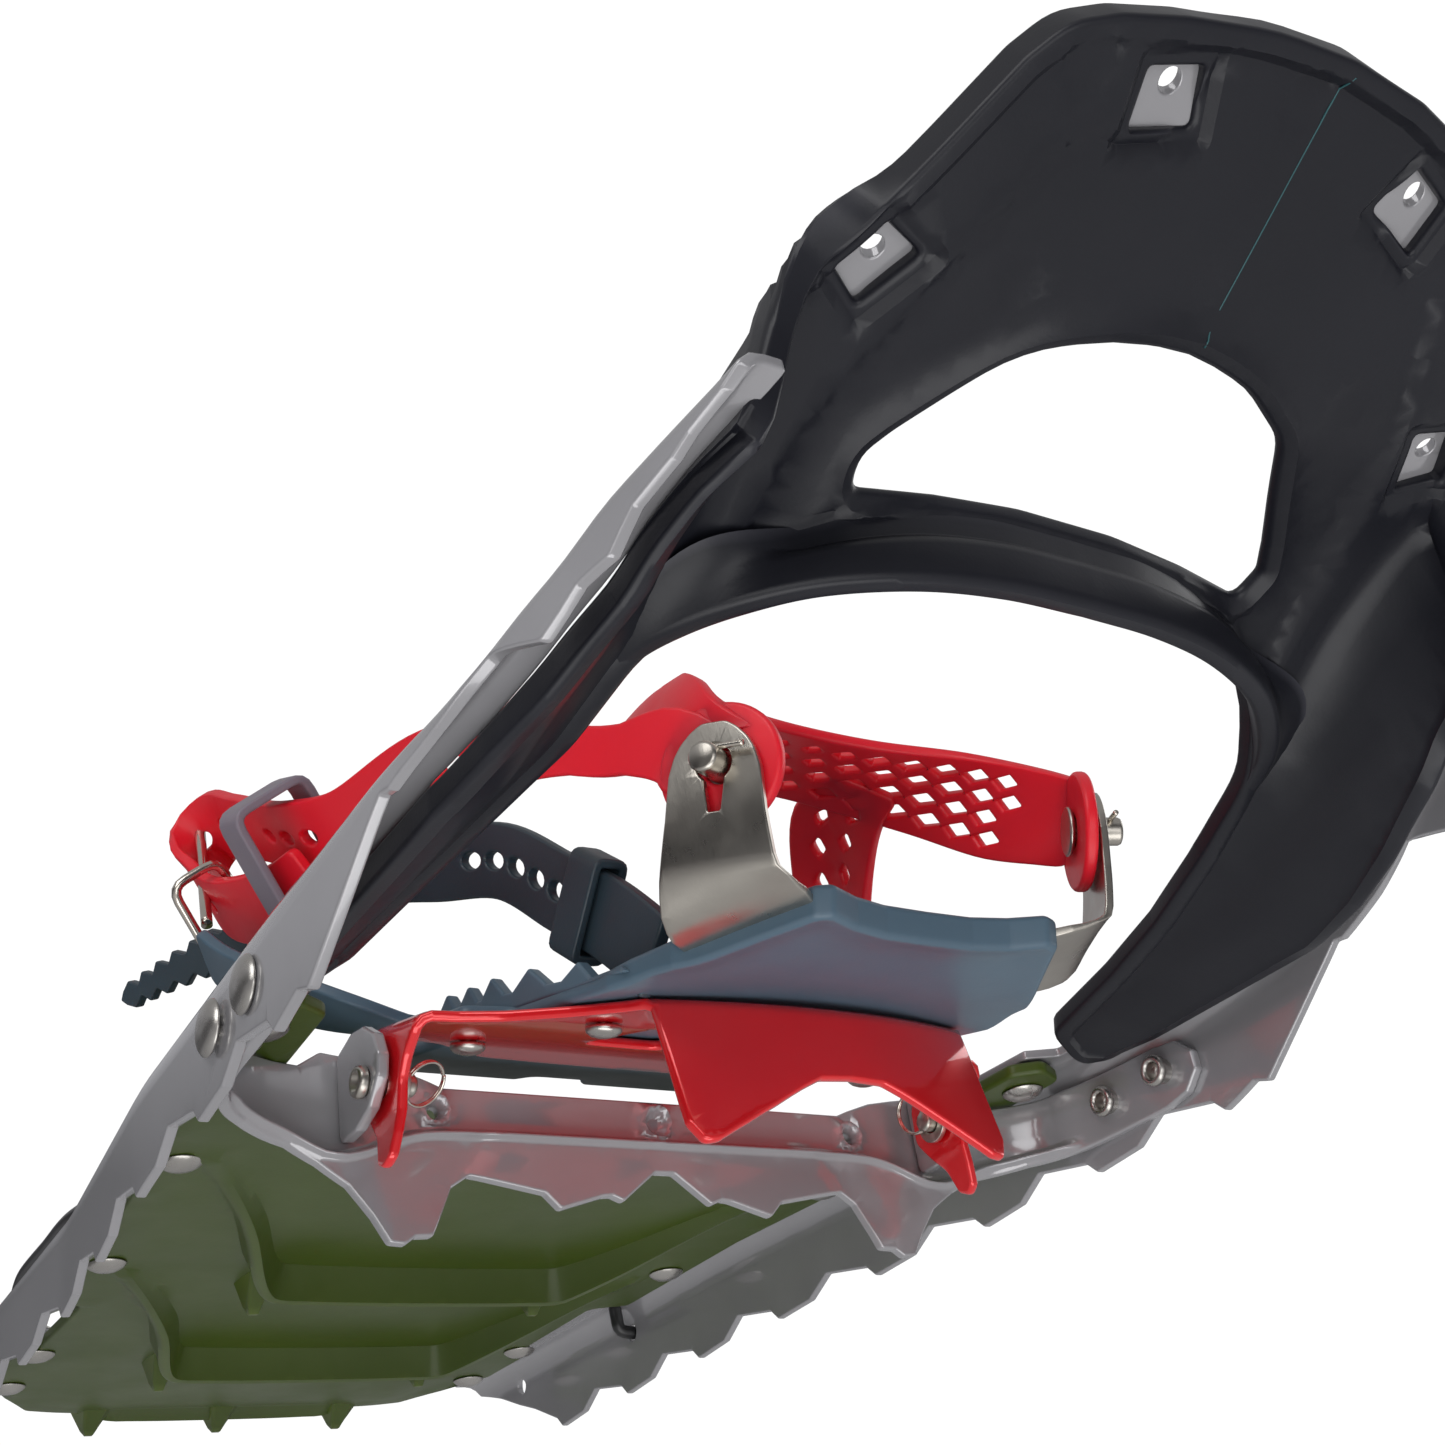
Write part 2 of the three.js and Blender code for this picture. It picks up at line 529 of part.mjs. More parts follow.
// Place of the pivot pins in the binding's frame, [y, z].
binding.updateMatrix();
const toBinding = binding.matrix.clone().invert();
const pinSpot = new THREE.Vector3(0, PIVOT.y, PIVOT.z).applyMatrix4(toBinding).toArray().slice(1);

// Crampon: top plate, two hanging ears with side teeth, and a front skirt with two teeth.
const C = CRAMPON;
const plateOutline = mirrored([[0, 51.6], [14, 50.6], [24, 48], [C.frontHalf, C.frontY], [40, 33.5], [50, 20],
  [C.halfWidth - 2, C.cornerY], [C.halfWidth - 2, -1], [50, -7], [36, C.rearY], [0, C.rearY - 1.6]]);
const plateHolesOutline = [[9, 6], [26, 6], [22, 26], [12, 30]];
const cramponPlate = cut(
  toSolid(prism(plateOutline, C.topZ - C.sheet, C.topZ)),
  toSolid(prism(plateHolesOutline, 0, 20)),
  toSolid(prism(plateHolesOutline.map(([x, y]) => [-x, y]).reverse(), 0, 20)),
);
const earUpper = [[-6.6, C.topZ - 0.4], [-7.4, 3], [-6.2, EAR.leanZ], [9.7, EAR.leanZ], [9.4, 0], [11.4, 6],
  [C.cornerY, C.topZ - 0.4]];
const earLower = [[-6.2, EAR.leanZ], [-1.6, -7.2], [2.6, -10], [5.2, -14.4], [8.2, -15.4], [10.4, -13.6], [10, -7],
  [9.7, EAR.leanZ]];
const sideEar = prismX(earUpper, C.halfWidth - EAR.sheet, C.halfWidth);
const sideTooth = prismX(earLower, C.halfWidth - EAR.sheet, C.halfWidth);
{
  const p = sideTooth.attributes.position;
  for (let i = 0; i < p.count; i++) p.setX(i, p.getX(i) + EAR.lean * (EAR.leanZ - p.getZ(i)));
}
const skirt = slab(20, 1, 1, (u, v, w) => {
  const x = lerp(-33.4, 33.4, u);
  const s = Math.abs(x) / 33.4;
  const toothEdge = track([[0, -1.4], [0.2, -1.8], [0.32, -3.6], [0.86, -13.2], [0.94, -13.6], [1, -10.4]]);
  const z = lerp(toothEdge(s), C.topZ, v);
  const y = 51.8 - 6.9 * s * s + (C.topZ - z) * lerp(0.33, 0.52, s);
  return new THREE.Vector3(x, y - w * C.sheet, z);
});
const baseRivets = [[33, 27], [45.8, -2]];
const baseRivetHoles = baseRivets.map(([x, y]) => rod([x, y, 5], [x, y, 22], 1.9, 12));
const counterbores = baseRivets.map(([x, y]) => rod([x, y, 13.4], [x, y, 22], 3.7, 16));
const crampon = cut(
  join(cramponPlate, ...[sideEar, mirrorX(sideEar), sideTooth, mirrorX(sideTooth), skirt].map(toSolid)),
  toSolid(rod([-70, ...pinSpot], [70, ...pinSpot], PIVOT.pinR + 0.25, 16)),
  ...baseRivetHoles.flatMap((hole) => [toSolid(hole), toSolid(mirrorX(hole))]),
);
add("crampon", toGeometry(crampon), redPaint, binding);

// Toe base: moulded plate that curves up to the front corners, with toothed side flanges.
const baseCurve = track([[BASE.rearY, 0], [46, 0], [60, 2.2], [72, 5.6], [86, 9.2]]);
const baseOutline = mirrored([[0, BASE.frontY - 4], [14, BASE.frontY - 2.4], [23.5, BASE.frontY], [38.5, 59], [42, 44],
  [42, 9], [51, 6], [51, -9], [42, -12], [42, -40], [38, BASE.rearY], [8, BASE.rearY], [6, BASE.rearY + 6]]);
const baseRows = [BASE.rearY - 4, 40, 43, 46, 48, 52, 56, 60, 66, 72, 78, BASE.frontY + 4];
const baseSheet = slab(1, baseRows.length - 1, 1, (u, v, w) => {
  const y = baseRows[Math.round(v * (baseRows.length - 1))];
  const thick = lerp(BASE.thick, 4.4, clamp((y - 40) / 8, 0, 1));
  return new THREE.Vector3(lerp(-54, 54, u), y, BASE.floorZ + baseCurve(y) + w * thick);
});
const flangeTeeth = [[50, 14.4], [48, 15.6], [38, 15.4], [33, 19], [27, 16.6], [21.4, 17], [14.2, 21.1],
  [8, 17.8], [4.4, 18], [-1.2, 22], [-5.2, 18.4], [-7, 18.4], [-11.3, 22], [-15, 18.6], [-17, 18.6], [-20.9, 22],
  [-25, 18], [-32, 14.2]];
const sideFlange = prismX(flangeTeeth, 39.2, 42);
baseRivets.forEach(([x, y], i) => {
  const rivet = turned(
    [[0, -2.4], [3.3, -1.6], [3.3, -0.3], [1.6, -0.3], [1.6, 4.1], [3.4, 4.1], [3.4, 5.2], [0, 5.2]],
    [x, y, C.topZ - C.sheet],
    [0, 0, 1],
    10,
  );
  addPair(`crampon_rivet_${i + 1}`, rivet, steel, binding);
});

// Pivot pins: head outside the crossbar ear, shank through ear and crampon, washer and split ring inside.
const PIN = { inX: 57.9, ringX: 59.5, washerX: 60.2 };
const pivotPin = cut(
  toSolid(turned(
    [[0, 0], [PIVOT.pinR, 0], [PIVOT.pinR, 9.7], [3, 9.7], [3, 10.9], [2.5, 11.5], [0, 11.5]],
    [PIN.inX, PIVOT.y, PIVOT.z],
    [1, 0, 0],
    20,
  )),
  toSolid(rod([PIN.ringX, PIVOT.y - 5, PIVOT.z - 5], [PIN.ringX, PIVOT.y + 5, PIVOT.z + 5], 1.2, 12)),
);
const washer = toSolid(turned(
  [[0, 0], [4.3, 0], [4.3, 1.2], [0, 1.2]],
  [PIN.washerX, PIVOT.y, PIVOT.z],
  [1, 0, 0],
  24,
)).subtract(toSolid(rod([50, PIVOT.y, PIVOT.z], [70, PIVOT.y, PIVOT.z], PIVOT.pinR + 0.25, 20)));
addPair("pivot_pin", toGeometry(pivotPin), steel);
addPair("pivot_washer", toGeometry(washer), steel);

// Split ring: a circle that passes through its pin's hole and lies off to one side, tangent to the hole there.
function splitRing(side, towards, tangent) {
  const [d, t] = [towards, tangent].map((v) => new THREE.Vector3(...v).normalize());
  const hole = new THREE.Vector3(side * PIN.ringX, PIVOT.y, PIVOT.z);
  const centre = hole.addScaledVector(d, 4.3);
  const points = [];
  for (let i = 0; i < 12; i++) {
    const a = (i / 12) * Math.PI * 2;
    points.push(centre.clone().addScaledVector(d, 4.3 * Math.cos(a)).addScaledVector(t, 4.3 * Math.sin(a)).toArray());
  }
  return wire(points, 0.55, 24, true, 6);
}
add("pivot_ring_right", splitRing(1, [-0.95, -0.22, 0.22], [0, 0.707, 0.707]), steel);
add("pivot_ring_left", splitRing(-1, [0.2, -0.7, 0.7], [0, 0.707, 0.707]), steel);

// ---------------------------------------------------------------- side brackets with keyhole slots
// Bracket frame: first axis outwards from the slanted edge, second along the edge, third up.
const bracketDir = THREE.MathUtils.degToRad(31);
const BRACKET = { sheet: 1.5, pinUp: 22.7, foot: [33.6, 72.6], sink: 2.9 };
const bracketFoot = new THREE.Vector3(...BRACKET.foot, BASE.floorZ + baseCurve(BRACKET.foot[1]) + BRACKET.sink);
const outward = new THREE.Vector3(Math.cos(bracketDir), Math.sin(bracketDir), 0);
const sideways = new THREE.Vector3(-outward.y, outward.x, 0);
const bracketFrame = new THREE.Matrix4().makeBasis(outward, sideways, new THREE.Vector3(0, 0, 1));
bracketFrame.setPosition(bracketFoot);
const bracketRoute = smooth([[-18, 0, 0], [-8, 0, 0], [-1, 0.1, 0], [4.2, 1.4, 0], [6.8, 5, 0], [7.5, 10, 0],
  [7.7, 16, 0], [7.7, 23, 0], [7.7, 29.6, 0]]);
const bracketHalf = track([[0, 11], [0.36, 12], [0.45, 11.4], [0.56, 10], [0.7, 8.9], [0.84, 8.2], [0.92, 6.9],
  [0.97, 4.6], [1, 2.2]]);
// Strip that lies in the base's front, turns up at its edge and narrows to the pin; grow widens it all round.
const bracketStrip = (grow, reach) => slab(20, 2, 1, (u, v, w) => {
  const s = u * reach;
  const p = bracketRoute.getPoint(s);
  const t = bracketRoute.getTangent(s);
  const deep = lerp(-grow, BRACKET.sheet + grow, w);
  const at = new THREE.Vector3(p.x + t.y * deep, (v - 0.5) * 2 * (bracketHalf(s) + grow), p.y - t.x * deep);
  at.applyMatrix4(bracketFrame);
  at.z += (baseCurve(at.y) - baseCurve(BRACKET.foot[1])) * clamp(1 - p.y / 5, 0, 1);
  return at.addScaledVector(outward, u === 0 ? -grow : 0);
});
const atPin = (geometry) => geometry.translate(0, 0, BRACKET.pinUp).applyMatrix4(bracketFrame);
const keySlot = prismX([[-2.9, -1], [-1.1, -8], [1.1, -8], [2.9, -1]], 0, 16);
const bracketHole = join(toSolid(atPin(rod([0, 0, 0], [16, 0, 0], 3.2, 16))), toSolid(atPin(keySlot)));
addPair("side_bracket", toGeometry(toSolid(bracketStrip(0, 1)).subtract(bracketHole)), steel, binding);

const bracketSlot = toSolid(bracketStrip(GAP, 0.42));
const base = cut(
  join(
    toSolid(baseSheet).intersect(toSolid(prism(baseOutline, 5, 40))),
    toSolid(sideFlange),
    toSolid(mirrorX(sideFlange)),
  ),
  ...[...baseRivetHoles, ...counterbores].flatMap((hole) => [toSolid(hole), toSolid(mirrorX(hole))]),
  bracketSlot,
  bracketSlot.mirror([1, 0, 0]),
);
add("toe_base", toGeometry(base), blueGrey, binding);

// Cradle pins: headed pins through the brackets' keyholes, with a small retaining pin across each.
const cradlePin = atPin(turned(
  [[0, -4.4], [4.6, -4.4], [4.6, -3.5], [2.6, -3.5], [2.6, 5.4], [2.3, 5.8], [0, 5.8]],
  [7.7, 0, 0],
  [1, 0, 0],
  16,
));
addPair("cradle_pin", toGeometry(cut(
  toSolid(cradlePin),
  toSolid(atPin(rod([11.3, -6, 1.8], [11.3, 8, 1.8], 0.75, 8))),
)), steel, binding);
addPair("cradle_pin_clip", atPin(rod([11.3, -2.2, 1.8], [11.3, 6.4, 1.8], 0.45, 8)), steel, binding);

// ---------------------------------------------------------------- cradle with its strap
// One soft moulding: a band over the forefoot, a lobe round each cradle pin, a wall down one side, a strap.
const LOBE = { out: 5.9, thick: 2.4, radius: 11, hole: 2.9 };
// Point on a lobe's middle plane, from the pin: along the bracket's edge, up, on side +1 or -1.
const onLobe = (side, along, up) => {
  const p = new THREE.Vector3(LOBE.out, along, up + BRACKET.pinUp).applyMatrix4(bracketFrame);
  p.applyMatrix4(binding.matrix);
  return [p.x * side, p.y, p.z];
};
const lobe = (radius, grow) => {
  const half = LOBE.thick / 2 + grow;
  return atPin(rod([LOBE.out - half, 0, 0], [LOBE.out + half, 0, 0], radius, 22)).applyMatrix4(binding.matrix);
};
const bandFront = [onLobe(1, 7, 6), [39.5, 96, 47], [38.5, 91, 54], [33, 80, 62], [22, 70, 68], [0, 62, 71],
  [-18, 65, 69], [-33, 75, 63], [-38.5, 87, 54], [-39.5, 96, 46], onLobe(-1, 7, 6)];
const bandRear = [onLobe(1, -8, 3), [41, 82, 42], [38, 73, 53], [32, 56, 66], [20, 40, 74], [0, 32, 77],
  [-20, 36, 73], [-36, 50, 62], [-41, 67, 50], [-42, 81, 42], onLobe(-1, -8, 3)];
const wallRows = [
  [[-31.5, 55, 63.5], [-33, 46, 61], [-36.5, 36, 55], [-37, 30, 44], [-35.5, 27, 25]],
  [[-20, 50, 70.5], [-24, 30, 73], [-35, 12, 62], [-37.5, 10, 46], [-35.5, 10, 29.5]],
];
const fold = [0.62, 0.35, 0.7];
const strapStops = [
  [...onLobe(1, -4, 1), 0, 0.24, 0.97],
  [...onLobe(1, -9, 5), 0, 0.35, 0.93],
  [48, 72, 49, 0.1, 0.45, 0.88],
  [55, 57, 57, 0.16, 0.5, 0.85],
  [63, 37, 62, 0.3, 0.5, 0.82],
  [70, 14, 61, 0.4, 0.4, 0.8],
  [74, 0, 66, ...fold],
  [76, -20, 78, ...fold],
  [77, -34, 86, ...fold],
  [78.5, -41, 85, ...fold],
  [79.5, -42, 79, ...fold],
  [78.5, -38, 71, ...fold],
  [77, -30, 64, ...fold],
  [74, -8, 56, ...fold],
  [72, 4, 55, ...fold],
];
const PRONG = { from: [81.4, -31.2, 60.6], to: [79.5, -42, 93], radius: 1.2 };
const cradle = cut(
  join(
    toSolid(sheet([bandFront, bandRear], LOBE.thick, 24)),
    toSolid(lobe(LOBE.radius, 0)),
    toSolid(mirrorX(lobe(LOBE.radius, 0))),
    toSolid(sheet(wallRows, LOBE.thick, 8)),
    toSolid(strap(strapStops, 15, LOBE.thick, 34)),
  ),
  toSolid(lobe(LOBE.hole, 4)),
  toSolid(mirrorX(lobe(LOBE.hole, 4))),
  toSolid(rod(PRONG.from, PRONG.to, PRONG.radius + 0.5, 12)),
);
add("cradle", toGeometry(largest(cradle)), redStrap);
add("buckle_prong", rod(PRONG.from, PRONG.to, PRONG.radius, 12), steel);

// Closed rounded rectangle in the plane of two directions, for the strap's keeper and buckle.
function hoop(centre, across, normal, width, height, radius) {
  const [c, a, n] = [centre, across, normal].map((v) => new THREE.Vector3(...v));
  a.normalize();
  n.addScaledVector(a, -n.dot(a)).normalize();
  const corner = Math.min(width, height) * 0.22;
  const [w, h] = [width / 2, height / 2];
  const plan = [[-w, -h + corner], [-w + corner, -h], [w - corner, -h], [w, -h + corner], [w, h - corner],
    [w - corner, h], [-w + corner, h], [-w, h - corner]];
  const points = plan.map(([s, t]) => c.clone().addScaledVector(a, s).addScaledVector(n, t).toArray());
  return wire(points, radius, 28, true, 6);
}
const loopNormal = [0.78, -0.24, -0.57];
add("strap_buckle", hoop([78.8, -30, 61.4], fold, loopNormal, 22, 11, 1.2), steel);

// Strap keeper: a soft rectangular sleeve round both layers of the strap.
const KEEPER = { centre: [73.6, -1, 60.8], width: 30.5, height: 17, wall: 2, length: 8.5 };
const keeperFrame = new THREE.Matrix4();
{
  const a = new THREE.Vector3(...fold).normalize();
  const run = new THREE.Vector3(0.1, -0.9, 0.4);
  run.addScaledVector(a, -run.dot(a)).normalize();
  keeperFrame.makeBasis(a, new THREE.Vector3().crossVectors(run, a), run).setPosition(...KEEPER.centre);
}
const sleeve = (width, height, length) => new THREE.BoxGeometry(width, height, length).applyMatrix4(keeperFrame);
const keeper = cut(
  toSolid(sleeve(KEEPER.width, KEEPER.height, KEEPER.length)),
  toSolid(sleeve(KEEPER.width - 2 * KEEPER.wall, KEEPER.height - 2 * KEEPER.wall, KEEPER.length + 4)),
);
add("strap_keeper", toGeometry(keeper), keeperGrey);

// ---------------------------------------------------------------- link strap and heel strap
const linkStops = [
  [42.8, -7, 31, 0, 1, -0.25],
  [52, -7, 31.2, 0.1, 1, -0.25],
  [62, -8, 33.4, 0.3, 0.9, 0],
  [71, -13, 38, 0.5, 0.8, 0.25],
  [78, -22, 45, 0.6, 0.6, 0.5],
  [82, -29, 53, 0.62, 0.4, 0.65],
];
add("link_strap", strap(linkStops, 15, 2.4, 14), blueGrey);

const heelStops = [
  [35, 47, 31, 0, 0.65, 0.76],
  [36, 33, 43, 0, 0.62, 0.78],
  [39, 17, 57, 0.1, 0.6, 0.78],
  [44, 0, 64, 0.2, 0.55, 0.8],
  [51, -12, 68, 0.3, 0.5, 0.8],
  [58, -25, 68, 0.35, 0.5, 0.8],
  [65, -37, 66, 0.35, 0.5, 0.8],
  [72, -50, 65, 0.3, 0.5, 0.8],
  [79, -63, 64, 0.2, 0.5, 0.85],
  [84, -78, 64, 0.2, 0.5, 0.85],
];
const heelStrap = toSolid(strap(heelStops, 15, 2.6, 28));
const slotStops = [[37.4, 25, 50.6], [38.8, 18.4, 56], [40.6, 11.4, 60.4], [42.6, 4.4, 63], [45.2, -2.4, 65.4]];
const slots = slotStops.map(([x, y, z]) => toSolid(rod([x - 6, y + 1, z], [x + 6, y - 1, z], 1.5, 10)));
add("heel_strap", toGeometry(cut(heelStrap, ...slots)), darkStrap);

// Heel strap keeper: sleeve near the strap's root.
{
  const along = new THREE.Vector3(0.1, -0.74, 0.66).normalize();
  const a = new THREE.Vector3(0, 0.66, 0.75);
  a.addScaledVector(along, -a.dot(along)).normalize();
  const frame = new THREE.Matrix4().makeBasis(a, new THREE.Vector3().crossVectors(along, a), along);
  frame.setPosition(35.4, 41, 36.2);
  const solid = (w, h, l) => toSolid(new THREE.BoxGeometry(w, h, l).applyMatrix4(frame));
  add("heel_strap_keeper", toGeometry(solid(20, 7.6, 9).subtract(solid(16.4, 4, 14))), darkStrap);
}

export default snowshoe;
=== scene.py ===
import math

import bmesh
import bpy
import numpy as np
from mathutils import Matrix, Vector
from mathutils.geometry import delaunay_2d_cdt


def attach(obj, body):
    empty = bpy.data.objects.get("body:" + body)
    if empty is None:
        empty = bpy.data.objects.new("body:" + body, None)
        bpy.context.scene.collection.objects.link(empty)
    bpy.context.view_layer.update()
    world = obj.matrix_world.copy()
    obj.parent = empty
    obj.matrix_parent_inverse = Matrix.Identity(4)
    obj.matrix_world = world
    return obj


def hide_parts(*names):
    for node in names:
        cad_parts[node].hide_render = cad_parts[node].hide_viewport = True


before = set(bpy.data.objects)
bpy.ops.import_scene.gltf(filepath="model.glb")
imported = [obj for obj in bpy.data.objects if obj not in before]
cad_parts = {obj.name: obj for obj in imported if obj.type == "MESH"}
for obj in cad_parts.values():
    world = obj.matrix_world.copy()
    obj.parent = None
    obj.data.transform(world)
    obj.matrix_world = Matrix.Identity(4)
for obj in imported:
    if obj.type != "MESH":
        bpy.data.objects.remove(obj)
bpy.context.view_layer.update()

# --- frame
# Shapes are written in millimetres about the crossbar and moved to the row frame, in metres, at the end.
SHIFT = np.array([0.0, 25.75, 15.211])
PIVOT = np.array([0.0, 9.2, 12.0])
PITCH = math.radians(-14)
COS_PITCH, SIN_PITCH = math.cos(PITCH), math.sin(PITCH)


def cols(*columns):
    """Rows of coordinates from their columns, some of which may be constant."""
    return np.stack(np.broadcast_arrays(*columns), -1)


def unit(v):
    v = np.asarray(v, float)
    return v / np.linalg.norm(v, axis=-1, keepdims=True)


def from_binding(p):
    """Binding's level frame to the measuring frame."""
    x, y, z = np.moveaxis(np.asarray(p, float), -1, 0)
    return cols(x, y * COS_PITCH - z * SIN_PITCH, y * SIN_PITCH + z * COS_PITCH) + PIVOT


# --- curves
SPLINE_CUTS = 24  # points worked out between two given ones
def track(pairs, soft=0.0):
    """Piecewise-linear function through pairs, averaged over a window of +-soft."""
    xs, ys = np.array(pairs, float).T
    if not soft:
        return lambda t: np.interp(t, xs, ys)
    steps = np.linspace(-soft, soft, 11)
    return lambda t: np.mean([np.interp(np.asarray(t, float) + d, xs, ys) for d in steps], axis=0)


def ease(t):
    t = np.clip(t, 0, 1)
    return t * t * (3 - 2 * t)


def steps(points, power=1):
    """Running sum of the distances between points, each raised to a power."""
    return np.concatenate([[0], np.cumsum(np.linalg.norm(np.diff(points, axis=0), axis=1) ** power)])


def at_steps(s, length, rows):
    return cols(*(np.interp(s, length, column) for column in rows.T))


def spline(points, count):
    """Points of a centripetal Catmull-Rom curve, evenly spaced by length."""
    p = np.asarray(points, float)
    p = np.vstack([2 * p[0] - p[1], p, 2 * p[-1] - p[-2]])
    out = []
    for i in range(len(p) - 3):
        q = p[i:i + 4]
        t = steps(q, 0.5)
        s = np.linspace(t[1], t[2], SPLINE_CUTS, endpoint=i == len(p) - 4)[:, None]

        def blend(a, b, j, k):
            return (t[k] - s) / (t[k] - t[j]) * a + (s - t[j]) / (t[k] - t[j]) * b

        a, b, c = [blend(q[k], q[k + 1], k, k + 1) for k in range(3)]
        out.append(blend(blend(a, b, 0, 2), blend(b, c, 1, 3), 1, 2))
    return resample(np.vstack(out), count)


def resample(points, count):
    length = steps(points)
    return at_steps(np.linspace(0, length[-1], count), length, points)


def along(points, s):
    """Position and unit direction at distances s along a polyline."""
    length = steps(points)
    slope = np.gradient(points, length, axis=0)
    return at_steps(s, length, points), unit(at_steps(s, length, slope))


# --- loops
CORNER_SHARE = 0.42  # most of a side that one rounded corner may use
NEARLY_STRAIGHT = 1.4  # half angle in radians
def rounded(points, radius=1.0, spacing=2.5):
    """Closed outline with its corners rounded and its sides cut into short steps."""
    p = np.asarray(points, float)
    p = p[np.linalg.norm(p - np.roll(p, 1, 0), axis=1) > 1e-3]
    radii = np.broadcast_to(radius, len(p))
    out = []
    for i, corner in enumerate(p):
        back, ahead = p[i - 1] - corner, p[(i + 1) % len(p)] - corner
        lb, la = np.linalg.norm(back), np.linalg.norm(ahead)
        cos = np.clip(back @ ahead / (lb * la), -1, 1)
        half = math.acos(cos) / 2
        most = CORNER_SHARE * min(lb, la)
        reach = min(radii[i] / max(math.tan(half), 0.05), most)
        a, b = corner + back / lb * reach, corner + ahead / la * reach
        for t in np.linspace(0, 1, 5 if half < NEARLY_STRAIGHT else 3):
            out.append((1 - t) ** 2 * a + 2 * t * (1 - t) * corner + t * t * b)
    out = np.array(out)
    dense = []
    for a, b in zip(out, np.roll(out, -1, 0)):
        n = max(1, int(np.linalg.norm(b - a) / spacing))
        dense.extend(a + (b - a) * k / n for k in range(n))
    dense = np.array(dense)
    keep = np.linalg.norm(dense - np.roll(dense, 1, 0), axis=1) > 1e-4
    return dense[keep]


def area(loop):
    x, y = loop.T
    return 0.5 * np.sum(x * np.roll(y, -1) - np.roll(x, -1) * y)


def turn(loop, positive):
    return loop if (area(loop) > 0) == positive else loop[::-1]


def inward(loop):
    """Mitre vectors that move each point one unit into the material on its left."""
    a, b = unit(loop - np.roll(loop, 1, 0)), unit(np.roll(loop, -1, 0) - loop)
    na, nb = cols(-a[:, 1], a[:, 0]), cols(-b[:, 1], b[:, 0])
    m = na + nb
    m /= np.linalg.norm(m, axis=1, keepdims=True) + 1e-9
    return m / np.maximum((m * na).sum(1, keepdims=True), 0.55)


def distance(p, line, closed=True):
    """Distance from points to a polyline."""
    a = line if closed else line[:-1]
    b = np.roll(line, -1, 0) if closed else line[1:]
    best = np.full(len(p), 1e9)
    for q, r in zip(a, b):
        d = r - q
        t = np.clip(((p - q) @ d) / max(d @ d, 1e-12), 0, 1)
        best = np.minimum(best, np.linalg.norm(p - q - t[:, None] * d, axis=1))
    return best


def inside(p, loops):
    """Even-odd test of points against loops."""
    hit = np.zeros(len(p), bool)
    for loop in loops:
        for (x0, y0), (x1, y1) in zip(loop, np.roll(loop, -1, 0)):
            if y0 == y1:
                continue
            across = (p[:, 1] < y0) != (p[:, 1] < y1)
            hit ^= across & (p[:, 0] < x0 + (p[:, 1] - y0) / (y1 - y0) * (x1 - x0))
    return hit


def depth(p, loop):
    """Signed distance into a closed loop, positive inside."""
    d = distance(p, loop)
    return np.where(inside(p, [loop]), d, -d)


def circle(x, y, r, n=20):
    a = np.arange(n) / n * 2 * np.pi
    return cols(x + r * np.cos(a), y + r * np.sin(a))


def oval(x, y, rx, ry):
    return circle(0, 0, 1) * (rx, ry) + (x, y)


def box(x0, x1, y0, y1):
    return [[x0, y0], [x1, y0], [x1, y1], [x0, y1]]


def diamond(x, y, rx, ry, radius):
    return rounded([[x - rx, y], [x, y - ry], [x + rx, y], [x, y + ry]], radius, 1.2)


def flip(loop):
    return np.asarray(loop, float) * (-1, 1)


def mirrored(half):
    """Closed outline from a half that runs over x >= 0."""
    half = np.asarray(half, float)
    return np.vstack([half, flip(half[::-1])])


def both_sides(loop, gap):
    """The loop offset by half the gap to either side, for the two edges of a step."""
    loop = turn(loop, True)
    return [loop + inward(loop) * gap / 2, loop - inward(loop) * gap / 2]


# --- meshes
CREASE_GAP = 0.25  # mm kept between a crease and a rim
RIM_GAP, LINE_GAP = 0.55, 0.4  # shares of the pitch kept round rims and creases
def linked(name, data):
    """A new object for data, in the scene."""
    obj = bpy.data.objects.new(name, data)
    bpy.context.scene.collection.objects.link(obj)
    return obj


def make(name, verts, faces, sharp=None):
    mesh = bpy.data.meshes.new(name)
    rows = (np.asarray(verts) + SHIFT) / 1000
    mesh.from_pydata(rows.tolist(), [], faces)
    bm = bmesh.new()
    bm.from_mesh(mesh)
    bmesh.ops.remove_doubles(bm, verts=bm.verts, dist=2e-6)
    bmesh.ops.dissolve_degenerate(bm, edges=bm.edges, dist=2e-6)
    bmesh.ops.recalc_face_normals(bm, faces=bm.faces)
    bm.to_mesh(mesh)
    bm.free()
    mesh.shade_smooth()
    if sharp:
        mesh.set_sharp_from_angle(angle=math.radians(sharp))
    obj = linked(name, mesh)
    weighted = obj.modifiers.new("weighted", "WEIGHTED_NORMAL")
    weighted.keep_sharp = True
    weighted.weight = 60
    return obj


